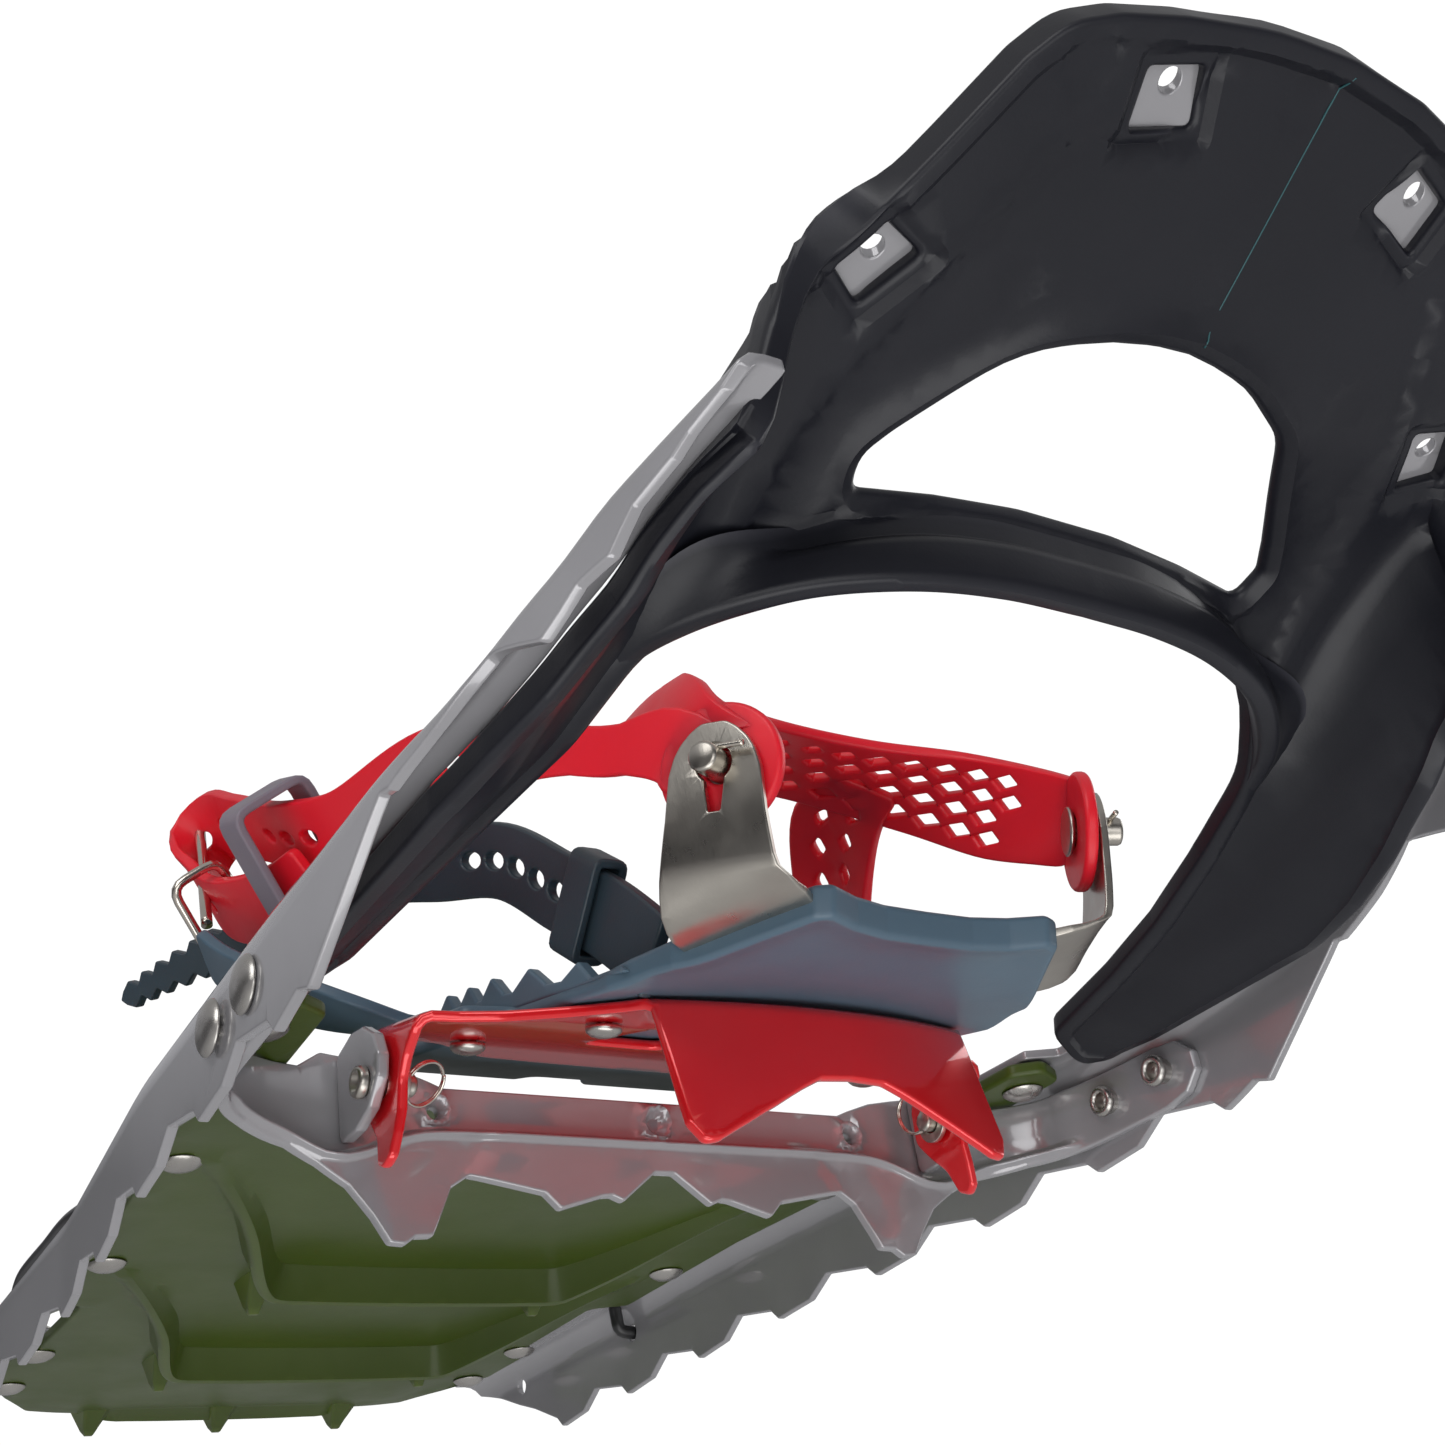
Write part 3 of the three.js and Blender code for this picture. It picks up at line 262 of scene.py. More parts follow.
def sheet(outer, holes, place, edge=0.5, pitch=4.0, creases=(), crease_open=(), rings=3):
    """Verts and faces of a solid sheet over an outline with holes.

    place(points) gives its two faces; edge is the radius that rounds every rim; mesh edges follow the closed
    creases and the open ones."""
    loops = [turn(np.asarray(outer, float), True)] + [turn(np.asarray(h, float), False) for h in holes]
    mitres = [inward(loop) for loop in loops]
    rims = [loop + m * edge for loop, m in zip(loops, mitres)]
    flat, links, start = list(rims), [], 0
    for rim in rims:
        links += [(start + i, start + (i + 1) % len(rim)) for i in range(len(rim))]
        start += len(rim)
    lines = [(np.asarray(c, float), True) for c in creases]
    lines += [(np.asarray(c, float), False) for c in crease_open]
    for line, closed in lines:
        clear = np.all([distance(line, rim) > CREASE_GAP for rim in rims], axis=0)
        kept = np.flatnonzero(inside(line, rims) & clear)
        index = {i: start + k for k, i in enumerate(kept)}
        flat.append(line[kept])
        start += len(kept)
        for i in index:
            j = (i + 1) % len(line)
            if j in index and (closed or j > i):
                links.append((index[i], index[j]))
    lo, hi = loops[0].min(0), loops[0].max(0)
    gx, gy = (np.arange(lo[k] + pitch / 2, hi[k], pitch) for k in (0, 1))
    grid = np.stack(np.meshgrid(gx, gy), -1).reshape(-1, 2)
    grid = grid[inside(grid, rims)]
    for rim in rims:
        grid = grid[distance(grid, rim) > RIM_GAP * pitch]
    for line, closed in lines:
        grid = grid[distance(grid, line, closed) > LINE_GAP * pitch]
    out = delaunay_2d_cdt([Vector(p) for p in np.vstack(flat + [grid])], links, [], 0, 1e-5)
    xy = np.array([tuple(v) for v in out[0]])
    where = {source: k for k, sources in enumerate(out[3]) for source in sources}
    tris = np.array(out[2])
    tris = tris[inside(xy[tris].mean(1), rims)]
    n = len(xy)
    verts = list(place(xy))
    faces = [tuple(t) for t in tris[:, ::-1]] + [tuple(t + n) for t in tris]
    total, first = 2 * n, 0
    for loop, mitre, rim in zip(loops, mitres, rims):
        ids = np.array([where[first + i] for i in range(len(rim))])
        first += len(rim)
        bands = [ids]
        # up from the lower face, then on to the upper one
        for k in [*range(1, rings + 1), *range(-rings, 0)]:
            a = abs(k) / rings * math.pi / 2
            lower, upper = place(loop + mitre * edge * (1 - math.sin(a)))
            through = upper - lower
            size = np.linalg.norm(through, axis=1, keepdims=True)
            lift = np.minimum(edge * (1 - math.cos(a)), size * 0.48)
            through = through / np.maximum(size, 1e-9) * lift
            verts.append(lower + through if k > 0 else upper - through)
            bands.append(np.arange(total, total + len(loop)))
            total += len(loop)
        bands.append(ids + n)
        for a, b in zip(bands, bands[1:]):
            faces += zip(a, np.roll(a, -1), np.roll(b, -1), b)
    used = np.zeros(total, bool)
    used[[i for face in faces for i in face]] = True
    index = np.cumsum(used) - 1
    return np.vstack(verts)[used], [tuple(int(index[i]) for i in face) for face in faces]


def grid_faces(rows, columns, closed=False, shift=0):
    """Quads of a tube of rows; closed joins the last row to the first, turned by shift."""
    faces = []
    for i in range(rows if closed else rows - 1):
        j = (i + 1) % rows
        off = 0 if j else shift
        for k in range(columns):
            m = (k + 1) % columns
            faces.append((i * columns + k, i * columns + m,
                          j * columns + (m + off) % columns, j * columns + (k + off) % columns))
    return faces


def end_caps(rows, columns):
    return [tuple(range(columns))[::-1], tuple((rows - 1) * columns + k for k in range(columns))]


def lathe(profile, at, axis, sides=36):
    """Turned solid: profile is [radius, height] from axis to axis."""
    axis = unit(axis)
    ref = np.array([0, 0, 1.0]) if abs(axis[2]) < 0.9 else np.array([1.0, 0, 0])
    u = unit(np.cross(ref, axis))
    v = np.cross(axis, u)
    spokes = [u * math.cos(a) + v * math.sin(a) for a in np.arange(sides) / sides * 2 * math.pi]
    verts = [np.asarray(at) + axis * h + spoke * r for r, h in profile for spoke in spokes]
    return np.array(verts), grid_faces(len(profile), sides)


def tube(points, radius, closed=False, sides=14):
    """Round wire along points."""
    p = np.asarray(points, float)
    run = unit(np.roll(p, -1, 0) - np.roll(p, 1, 0) if closed else np.gradient(p, axis=0))
    side = np.array([0.3, 0.2, 1.0]) if abs(run[0][2]) < 0.8 else np.array([1.0, 0.3, 0])
    verts = []
    for at, ahead in zip(p, run):
        side = unit(side - (side @ ahead) * ahead)
        up = np.cross(ahead, side)
        for a in np.arange(sides) / sides * 2 * math.pi:
            verts.append(at + radius * (side * math.cos(a) + up * math.sin(a)))
    verts = np.array(verts)
    if not closed:
        return verts, grid_faces(len(p), sides) + end_caps(len(p), sides)
    gaps = [np.sum((np.roll(verts[:sides], -s, 0) - verts[-sides:]) ** 2) for s in range(sides)]
    return verts, grid_faces(len(p), sides, True, int(np.argmin(gaps)))


def merge(*parts):
    verts, faces, start = [], [], 0
    for v, f in parts:
        verts.append(v)
        faces += [tuple(int(i) + start for i in face) for face in f]
        start += len(v)
    return np.vstack(verts), faces


def mirror(part):
    v, f = part
    return v * (-1, 1, 1), [tuple(face[::-1]) for face in f]


def upright(inner, outer, move=np.asarray):
    """Faces of a plate that stands in the y-z plane between two x."""
    return lambda p: [move(cols(x, *p.T)) for x in (inner, outer)]


def finish_piece(name, part, body, look, *nodes, sharp=None):
    """One piece of the model: look holds a slot name, which is not used, and the material; nodes are the CAD
    nodes that it replaces.
    """
    slot, material = look
    obj = make(name, *part, sharp)
    obj.data.materials.append(material)
    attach(obj, body)
    if nodes:
        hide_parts(*nodes)


def both(name, part, body, look, sharp=None):
    """A piece and its mirror image, each replacing the CAD node of its side."""
    for side, p in (("right", part), ("left", mirror(part))):
        finish_piece(f"{name}_{side}_fine", p, body, look, f"{name}_{side}", sharp=sharp)


# --- materials
FINE_BUMP, BROAD_BUMP = 0.0002, 0.0006  # metres


def procedural(name, base, other, roughness, mottle, grain, bump, edge=None, edge_highlight_gain=0.5, stretch=None,
               wave=None, **extra):
    """Principled finish: two tones mixed by soft noise, uneven roughness, fine bump and a painted highlight
    along convex edges.
    """
    mat = bpy.data.materials.new(name)
    mat.use_nodes = True
    nodes, links = mat.node_tree.nodes, mat.node_tree.links
    shader = nodes["Principled BSDF"]
    coord = nodes.new("ShaderNodeTexCoord")

    def give(node, values):
        for socket, value in values.items():
            node.inputs[socket.replace("_", " ")].default_value = value

    def add(kind, **values):
        node = nodes.new("ShaderNode" + kind)
        give(node, values)
        return node

    def noise(scale, detail, rough=0.55, stretch=None):
        n = add("TexNoise", Scale=scale, Detail=detail, Roughness=rough)
        source = coord.outputs["Object"]
        if stretch:
            m = add("Mapping", Scale=stretch)
            links.new(source, m.inputs["Vector"])
            source = m.outputs["Vector"]
        links.new(source, n.inputs["Vector"])
        return n.outputs["Fac"]

    def ramp(source, low, high, start=0.3, end=0.7):
        r = add("MapRange", From_Min=start, From_Max=end, To_Min=low, To_Max=high)
        links.new(source, r.inputs["Value"])
        return r.outputs["Result"]

    def mixed(factor, color):
        mix = nodes.new("ShaderNodeMix")
        mix.data_type = "RGBA"
        give(mix, {"B": (*color, 1)})
        links.new(factor, mix.inputs["Factor"])
        return mix

    tones = mixed(ramp(noise(mottle, 5), 0, 1), other)
    give(tones, {"A": (*base, 1)})
    color = tones.outputs["Result"]
    # The edge colour, mixed in where pointiness is high, is a painted highlight along convex edges.
    if edge:
        geometry = nodes.new("ShaderNodeNewGeometry")
        over = mixed(ramp(geometry.outputs["Pointiness"], 0, edge_highlight_gain, 0.54, 0.66), edge)
        links.new(color, over.inputs["A"])
        color = over.outputs["Result"]
    links.new(color, shader.inputs["Base Color"])
    links.new(ramp(noise(mottle * 2.3, 4), roughness * 0.85, roughness * 1.18), shader.inputs["Roughness"])
    fine = add("Bump", Strength=bump, Distance=FINE_BUMP)
    links.new(noise(grain, 3, 0.6, stretch), fine.inputs["Height"])
    if wave:
        broad = add("Bump", Strength=wave[1], Distance=BROAD_BUMP)
        links.new(noise(wave[0], 1.5), broad.inputs["Height"])
        links.new(broad.outputs["Normal"], fine.inputs["Normal"])
    links.new(fine.outputs["Normal"], shader.inputs["Normal"])
    give(shader, extra)
    return mat


# Each look is a material slot name of the record, not used below, and the material that the pieces get.
# The edge colours given below are painted edge highlights.
CHARCOAL = "charcoal_plastic", procedural("charcoal_moulding", (0.0095, 0.0100, 0.0145),
    (0.0130, 0.0135, 0.0190), 0.34, 25, 1500, 0.10, edge=(0.10, 0.10, 0.12), edge_highlight_gain=0.6,
    Specular_IOR_Level=0.36)
TEAL = "charcoal_plastic", procedural("teal_witness_line", (0.016, 0.085, 0.095), (0.022, 0.105, 0.115),
    0.4, 25, 1500, 0.05)
OLIVE = "olive_plastic", procedural("olive_moulding", (0.046, 0.073, 0.006), (0.060, 0.092, 0.009), 0.36,
    18, 1300, 0.10, edge=(0.20, 0.27, 0.06), Specular_IOR_Level=0.45, Subsurface_Weight=0.08,
    Subsurface_Scale=0.002)
GREY = "grey_paint", procedural("grey_powder_coat", (0.34, 0.335, 0.35), (0.38, 0.375, 0.39), 0.17, 30,
    1800, 0.012, edge=(0.80, 0.80, 0.86), Metallic=0.25, Coat_Weight=1.0, Coat_Roughness=0.04)
RED = "red_paint", procedural("red_gloss_coat", (0.86, 0.008, 0.014), (0.92, 0.011, 0.018), 0.20, 30, 1800,
    0.03, edge=(0.95, 0.08, 0.08), Metallic=0.25, Coat_Weight=1.0, Coat_Roughness=0.03)
SOFT_RED = "red_elastomer", procedural("red_elastomer_skin", (0.84, 0.010, 0.026), (0.92, 0.014, 0.034),
    0.40, 35, 1500, 0.12, Subsurface_Weight=0.35, Subsurface_Scale=0.004, Subsurface_Radius=(1.0, 0.15, 0.1))
BLUE = "blue_grey_plastic", procedural("blue_grey_moulding", (0.082, 0.135, 0.185), (0.100, 0.162, 0.215),
    0.34, 22, 1400, 0.10, Subsurface_Weight=0.25, Subsurface_Scale=0.004, Subsurface_Radius=(0.4, 0.8, 1.0))
DARK_STRAP = "dark_elastomer", procedural("dark_elastomer_skin", (0.028, 0.046, 0.060),
    (0.038, 0.060, 0.078), 0.38, 35, 1500, 0.14, Subsurface_Weight=0.15, Subsurface_Scale=0.003)
KEEPER = "keeper_grey", procedural("keeper_elastomer_skin", (0.220, 0.185, 0.225), (0.260, 0.220, 0.265),
    0.42, 40, 1500, 0.16, Subsurface_Weight=0.1, Subsurface_Scale=0.002)
STEEL = "steel", procedural("stainless_plate", (0.46, 0.43, 0.385), (0.56, 0.53, 0.475), 0.30, 60, 1600,
    0.10, edge=(0.88, 0.86, 0.80), edge_highlight_gain=0.6, Metallic=1.0, stretch=(1, 1, 0.25))
BRIGHT = "steel", procedural("nickel_wire", (0.62, 0.57, 0.50), (0.70, 0.65, 0.58), 0.14, 80, 2000, 0.03,
    Metallic=1.0)
RIVET = "steel", procedural("rivet_steel", (0.46, 0.44, 0.41), (0.58, 0.56, 0.53), 0.28, 120, 1800, 0.10,
    Metallic=1.0, wave=(300, 0.15))
WIRE = "black_wire", procedural("black_coated_wire", (0.010, 0.010, 0.011), (0.016, 0.016, 0.017), 0.35, 60,
    1500, 0.08, Coat_Weight=0.3, Coat_Roughness=0.3)

# --- rails
RAIL_SHEET, RAIL_TOP = 2.0, 25.2
half_width = track([[-260, 87], [-210, 87.8], [-96, 90.7], [-20, 98.5], [56, 101.2], [97, 99.6], [121, 95.1],
                    [138, 90], [149, 87], [159, 84], [170, 80]], 6)
rail_rise = track([[88, 0], [97, 0.3], [109, 2], [121, 5], [128, 8.3], [136, 11.3], [143, 15.3], [153, 18.3],
                   [162, 21.3], [170, 24.3]], 4)
bend_radius = track([[60, 8.5], [95, 4.5]], 8)
blade_edge = [[-259, 21.5], [-236, 12.2], [-226, 8.6], [-219, 5.5]]
TOOTH_PITCH, FIRST_TIP, TEETH = 38.03, 56.1, 8
for k in range(TEETH - 1, -1, -1):
    tip = FIRST_TIP - k * TOOTH_PITCH
    if k < TEETH - 1:
        blade_edge += [[tip - 25, 1.1], [tip - 17.3, 5.5]]
    blade_edge += [[tip - 2.8, 2.8], [tip, 0]]
blade_edge += [[65.4, 2.7], [69.2, 1.4], [95.1, 19.7], [97.4, 19.3], [109.2, 22.8], [120.7, 28.3],
               [131, 24.4], [138, 29], [144, 30], [149, 35], [156, 38], [159, 40.2], [165, 43.4], [168, 46]]
FLANGE, TAB_TIP = 12, 1
flange_reach = [[-259, FLANGE]]
for tab_start, tab_end, tab_reach in ((-245, -223, 23), (-206, -196, 24), (-160, -117, 23)):
    flange_reach += [[tab_start, FLANGE], [tab_start + TAB_TIP, tab_reach],
                     [tab_end - TAB_TIP, tab_reach], [tab_end, FLANGE]]
flange_reach += [[-82.5, 12], [-81.5, 23], [-30, 23], [-10, 20], [22, 19], [25, 12], [60, 11], [95, 9],
                 [168, 8]]


def rail_at(p, depth_in):
    """Developed sheet (along, across) to space; across is 0 at the bend, negative down the blade."""
    y, s = p[:, 0], p[:, 1]
    r = bend_radius(y)
    arc = r * math.pi / 2
    outer = half_width(y)
    middle = RAIL_TOP + rail_rise(y) - r
    a = np.clip(s / r, 0, math.pi / 2)
    rr = r - depth_in
    x = outer - r + rr * np.cos(a) - np.maximum(s - arc, 0)
    z = middle + rr * np.sin(a) + np.minimum(s, 0)
    return cols(x, y, z)


def rail_s(y, z):
    return z - (RAIL_TOP + rail_rise(y) - bend_radius(y))


edge_y, edge_z = np.array(blade_edge).T
lower_side = cols(edge_y, rail_s(edge_y, edge_z))
flange_y, flange_x = np.array(flange_reach).T
upper_side = cols(flange_y, bend_radius(flange_y) * (math.pi / 2 - 1) + flange_x)
rail_outline = rounded(np.vstack([lower_side, upper_side[::-1]]), 1.0, 2.2)
wire_hole = circle(-166, rail_s(-166, 15.5), 2.3)
tail_hole = circle(-233, rail_s(-233, 17.2), 2.5)
span = np.arange(-257, 167, 3.0)
rail_lines = [cols(span, -0.6)]
rail_lines += [cols(span, bend_radius(span) * math.pi / 2 * t) for t in np.linspace(0, 1, 9)]
rail = sheet(rail_outline, [wire_hole, tail_hole], lambda p: (rail_at(p, RAIL_SHEET), rail_at(p, 0.0)),
             edge=0.45, pitch=4.5, crease_open=rail_lines)
both("rail", rail, "deck", GREY)

# --- nose deck
nose_high = track([[34, 24.5], [57, 27], [75, 30], [95, 34], [116, 41.5], [128, 49], [140, 56], [150, 60],
                   [160, 63.3], [170, 65.8], [176, 67.5], [190, 74.7], [204, 82], [218, 89.2]], 3)
nose_low = track([[34, 19], [88, 19], [97, 19.1], [109, 20.8], [121, 23.8], [128, 26.9], [136, 29.9],
                  [143, 33.9], [153, 37], [162, 39.8], [168, 46], [176, 58], [185, 69], [204, 80.5],
                  [218, 88]], 2)
nose_outer = track([[34, 88.5], [60, 89.5], [88, 90], [109, 89], [121, 86.5], [136, 82], [153, 78],
                    [162, 74.5], [168, 72], [176, 67], [190, 62], [204, 56], [218, 54]], 3)
nose_inner = track([[34, 79], [57, 76], [75, 72], [95, 68], [116, 66], [130, 64], [150, 66], [162, 67],
                    [170, 66], [176, 63], [190, 58], [204, 52], [218, 50]], 3)


def deck_z(x, y):
    t = (nose_outer(y) - np.abs(x)) / (nose_outer(y) - nose_inner(y))
    s = np.clip(t, 0, 1)
    return nose_low(y) + (nose_high(y) - nose_low(y)) * (0.35 * s + 0.65 * ease(s))


HALF_RADII = [60, 20, 12, 12, 8, 8, 20, 20, 8, 4, 4, 8, 20, 20, 10, 8, 4, 4, 4, 20, 30, 20, 14, 25, 25, 25,
              40]
nose_outline = rounded(mirrored([
    [0, 217], [15, 216], [30, 213], [40, 210.2], [47, 207], [51, 201.5], [56.5, 190], [61.5, 180], [65, 172],
    [70, 165], [76, 161], [79, 153], [83, 136], [87, 121], [90, 109], [92, 95], [92, 36], [87, 31], [79, 33],
    [75.5, 57], [72, 75], [67, 95], [63.9, 112], [56, 124], [45, 132.5], [30, 138], [14, 140.4]]),
    HALF_RADII + HALF_RADII[:0:-1], 2.0)
WINDOW_RADII = [60, 40, 25, 12, 2.5, 2.2, 40]
window = rounded(mirrored([[0, 175.9], [14, 173.6], [27.1, 167.4], [39.5, 150], [42.2, 145.5], [41, 140.5],
                           [26, 142.6], [10, 144]]), WINDOW_RADII + [40, 40] + WINDOW_RADII[:0:-1], 1.5)
field = rounded(mirrored([[0, 214.2], [21.6, 211.8], [20.6, 204.5], [22.6, 199.6], [30.1, 197], [33.5, 197.3],
                          [38.4, 194.8], [42.5, 186.5], [47.6, 174], [49.8, 164], [53.5, 150], [56, 128],
                          [46, 131], [30, 137], [0, 140]]), 2.5, 1.8)
TAB_SPOTS = [((57.7, 172.8), math.radians(-64)), ((25.6, 204), math.radians(-18))]


def at_spot(points, spot, angle):
    c, s = math.cos(angle), math.sin(angle)
    return np.asarray(points, float) @ np.array([[c, s], [-s, c]]) + spot


pockets, wells = [], []
for spot, angle in TAB_SPOTS:
    pocket = rounded(at_spot([[-5.4, -4.1], [5.4, -4.1], [4.5, 3.6], [-4.5, 3.6]], spot, angle), 0.9, 1.2)
    well = rounded(at_spot([[-7.8, -6.6], [7.8, -6.6], [6.6, 5.8], [-6.6, 5.8]], spot, angle), 1.2, 1.5)
    pockets += [pocket, flip(pocket)]
    wells += [well, flip(well)]
ejectors = [circle(3.9, 210, 4.2), circle(41, 203.6, 4.4), circle(34.1, 176.5, 3.6), circle(5.3, 184.4, 3.6)]
ejectors += [flip(e) for e in ejectors[1:3]]


def nose_faces(p):
    x, y = p.T
    base = deck_z(x, y)
    slope_y = (deck_z(x, y + 1) - deck_z(x, y - 1)) / 2
    slope_x = (deck_z(x + 1, y) - deck_z(x - 1, y)) / 2
    n = unit(cols(-slope_x, -slope_y, 1.0))
    front = np.clip(np.maximum((np.abs(x) - 44) / 8, (y - 182) / 8), 0, 1) * np.clip((y - 166) / 8, 0, 1)
    thin = 3.5 + 2.4 * front
    # raised field, wells round the pockets and ejector marks
    up = 1.1 * ease(0.5 + depth(p, field) / 1.6)
    for well in wells:
        up += 1.2 * ease(0.5 + depth(p, well) / 1.4)
    for mark in ejectors:
        up += 0.25 * ease(0.5 + depth(p, mark) / 0.7)
    # raised lips round the window and along the outer rim
    lip = np.clip(1 - np.abs(depth(p, window) + 2.6) / 2.6, 0, 1)
    up -= 1.3 * ease(lip)
    up -= 0.9 * ease(0.5 + (3.2 - distance(p, nose_outline)) / 1.0)
    # long step along each arm
    arm = np.clip((150 - y) / 12, 0, 1) * np.clip((y - 40) / 10, 0, 1)
    mid = nose_outer(y) * 0.45 + nose_inner(y) * 0.55
    up -= 0.9 * arm * ease(0.5 + (np.abs(x) - mid) / 2.2)
    top = cols(x, y, base)
    return top + n * up[:, None], top + n * thin[:, None]


window_loop, nose_rim = turn(window, True), turn(nose_outline, True)
nose_steps = both_sides(field, 1.6) + [nose_rim + inward(nose_rim) * d for d in (2.7, 3.7)]
nose_steps += [window_loop - inward(window_loop) * d for d in (1.2, 2.6, 4.0)]
for loops, gap in ((wells, 1.4), (ejectors, 0.7)):
    for loop in loops:
        nose_steps += both_sides(loop, gap)
nose = sheet(nose_outline, [window] + pockets, nose_faces, edge=1.0, pitch=3.2, creases=nose_steps)

# Wall that hangs under the arch and runs out into both arms, with a proud lower band.
WALL_STOPS = [[0, 142.3, 42.6, 1.9], [16, 141.9, 42.4, 1.9], [31, 139.4, 42, 1.9], [46, 133.6, 41.2, 1.9],
              [55, 127, 40.4, 1.8], [61, 120.4, 39.8, 1.6], [65, 113, 39.2, 1.3], [67.4, 104, 37.6, 1.0]]
wall_half = spline(WALL_STOPS, 70)
wall_line = np.vstack([wall_half[:0:-1] * (-1, 1, 1, 1), wall_half])
MIDDLE = np.array([(-1.0, 0.0), (-1.0, 0.88), (-0.8, 0.96), (-0.4, 1.0), (0.7, 1.0), (1.15, 0.95),
                   (1.3, 0.86), (1.3, 0.55), (1.1, 0.45), (0.5, 0.39), (0.3, 0.34), (0.3, 0.0)])
ENDS = np.array([(-1.0, 0.0), (-1.0, 0.88), (-0.8, 0.96), (-0.4, 1.0), (0.7, 1.0), (1.15, 0.95), (1.4, 0.86),
                 (1.9, 0.66), (2.6, 0.44), (3.4, 0.26), (4.4, 0.1), (5.4, 0.0)])
web_rows = []
for (x, y, foot, half), (rx, ry) in zip(wall_line, unit(np.gradient(wall_line[:, :2], axis=0))):
    top = float(deck_z(x, y)) + 1.4
    end = ease((abs(x) - 46) / 14)
    web_rows += [(x - ry * o * half, y + rx * o * half, top + (foot - top) * k)
                 for o, k in MIDDLE * (1 - end) + ENDS * end]
web_size = len(wall_line), len(MIDDLE)
web = np.array(web_rows), grid_faces(*web_size) + end_caps(*web_size)
seam_line = nose_faces(cols(-0.4, np.linspace(177.5, 215, 40)))[0] + (0, 0, 0.05)
finish_piece("nose_deck_shell", nose, "deck", CHARCOAL, "nose_deck", sharp=40)
finish_piece("nose_arch_web", web, "deck", CHARCOAL, sharp=40)
finish_piece("nose_parting_line", tube(seam_line, 0.16, sides=6), "deck", TEAL)

# Frame tabs in the nose pockets.
for i, (spot, angle) in enumerate(TAB_SPOTS):
    shape = rounded(at_spot([[-6.3, -5.75], [6.3, -5.75], [7.5, -4.55], [7.5, 5.75], [-7.5, 5.75],
                             [-7.5, -4.55]],
                            spot, angle), 0.8, 1.5)

    def tab_faces(p, spot=spot):
        sx = (deck_z(spot[0] + 3, spot[1]) - deck_z(spot[0] - 3, spot[1])) / 6
        sy = (deck_z(spot[0], spot[1] + 3) - deck_z(spot[0], spot[1] - 3)) / 6
        z = deck_z(spot[0], spot[1]) + 3.6 + (p[:, 0] - spot[0]) * sx + (p[:, 1] - spot[1]) * sy
        return np.column_stack([p, z]), np.column_stack([p, z + 2.0])

    tab = sheet(shape, [circle(*spot, 1.7)], tab_faces, edge=0.3, pitch=3)
    both(f"nose_frame_tab_{i + 1}", tab, "deck", GREY)

# --- crossbar
bar_top = [[0, 17.2], [46, 17.2], [49, 18.4], [55, 20.4], [61, 21.4], [70, 22.6], [74.5, 19.4], [84, 19.2]]
bar_teeth = [[0, 2], [2.2, 2], [10, -4], [12.5, -3], [14.5, -3.2], [24, -6], [27, -3], [42.5, -0.2],
             [46, -2.4], [50.5, -11.8], [54, -12], [56, -13.4], [59, -13.2], [62, -8.5], [66.5, -3],
             [72, 0.6], [78, 3.2], [90, 4.6]]
route = [[0, 0], [30, 0], [60, 0], [72, 0.4], [82, 3.6], [90, 10], [94.5, 18.5], [95.9, 27], [96.4, 38],
         [96.8, 54]]
half_route = spline(route, 160)
full_route = resample(np.vstack([flip(half_route[::-1])[:-1], half_route]), 400)
half_length = steps(full_route)[-1] / 2
BAR_SHEET, BAR_FRONT = 2.4, -0.3
bead_z = track([[0, 8.8], [40, 8.8], [52, 8.2], [58, 6.4], [64, 3.6], [70, 3], [80, 6.5], [92, 7.4],
                [140, 7.4]], 3)
dimples = [(0.0, 12.6, 3.1), (48.0, 12.5, 2.6), (-48.0, 12.5, 2.6)]


def bar_faces(p):
    u, z = p.T
    pos, run = along(full_route, u + half_length)
    back = cols(run[:, 1], -run[:, 0])
    au = np.abs(u)
    above = z - bead_z(au)
    lean = -1.7 * ease(0.5 + above / 1.8) * ease((102 - au) / 8)
    lean += 1.7 * np.exp(-((above + 1.1) / 0.65) ** 2) * ease((104 - au) / 8)
    below_top = z - np.interp(au, *np.array(bar_top).T)
    lean += 0.9 * np.exp(-((below_top + 1.4) / 1.3) ** 2) * ease((70 - au) / 6)
    for cx, cz, r in dimples:
        d = np.hypot(u - cx, z - cz)
        lean += 1.6 * np.exp(-((d - r) / 0.7) ** 2) - 1.2 * ease(1 - d / (r - 0.4))
    # shallow groove pressed diagonally into each big tooth
    for side in (-1, 1):
        groove = np.array([[side * 40.0, 6.0], [side * 50.0, -5.0]])
        lean -= 0.8 * np.exp(-(distance(p, groove, closed=False) / 2.2) ** 2)
    front = cols(pos[:, 0] - back[:, 0] * lean, pos[:, 1] + BAR_FRONT - back[:, 1] * lean, z)
    return front + cols(*back.T, 0.0) * BAR_SHEET, front


low = bar_teeth + [[half_length - 10, 5.0], [half_length - 4, 6.2], [half_length, 10]]
high = bar_top + [[half_length - 10, 18.3], [half_length - 4, 17.6], [half_length, 14]]
bar_loop = rounded(np.vstack([flip(low[::-1]), low[1:], high[::-1], flip(high[1:])]), 1.1, 2.0)
bead_u = np.arange(-118, 118.1, 2.2)
bead_lines = [cols(bead_u, bead_z(np.abs(bead_u)) + d)
              for d in (-2.4, -1.8, -1.45, -1.1, -0.75, -0.4, 0.2, 0.9)]
bar_holes = [circle(x, 12.5, 1.1, 14) for x in (-48, 48)]
bar_creases = [circle(cx, cz, r * k, 28) for cx, cz, r in dimples for k in (0.45, 0.75, 1.0, 1.25)]
bar = sheet(bar_loop, bar_holes, bar_faces, edge=0.6, pitch=2.6, creases=bar_creases, crease_open=bead_lines)
ear_loop = rounded([[-1.6, 4.6], [6, 4.8], [12, 6.6], [16.6, 11], [17.4, 15], [15.6, 19.4], [11, 22.6],
                    [6, 23.4], [-1.6, 21.4]], 2.0, 1.5)
ear = sheet(ear_loop, [circle(11, 11.8, 2.3)], upright(65.0, 67.4), edge=0.6, pitch=3)
finish_piece("crossbar_plate", merge(bar, ear, mirror(ear)), "deck", GREY, "crossbar")
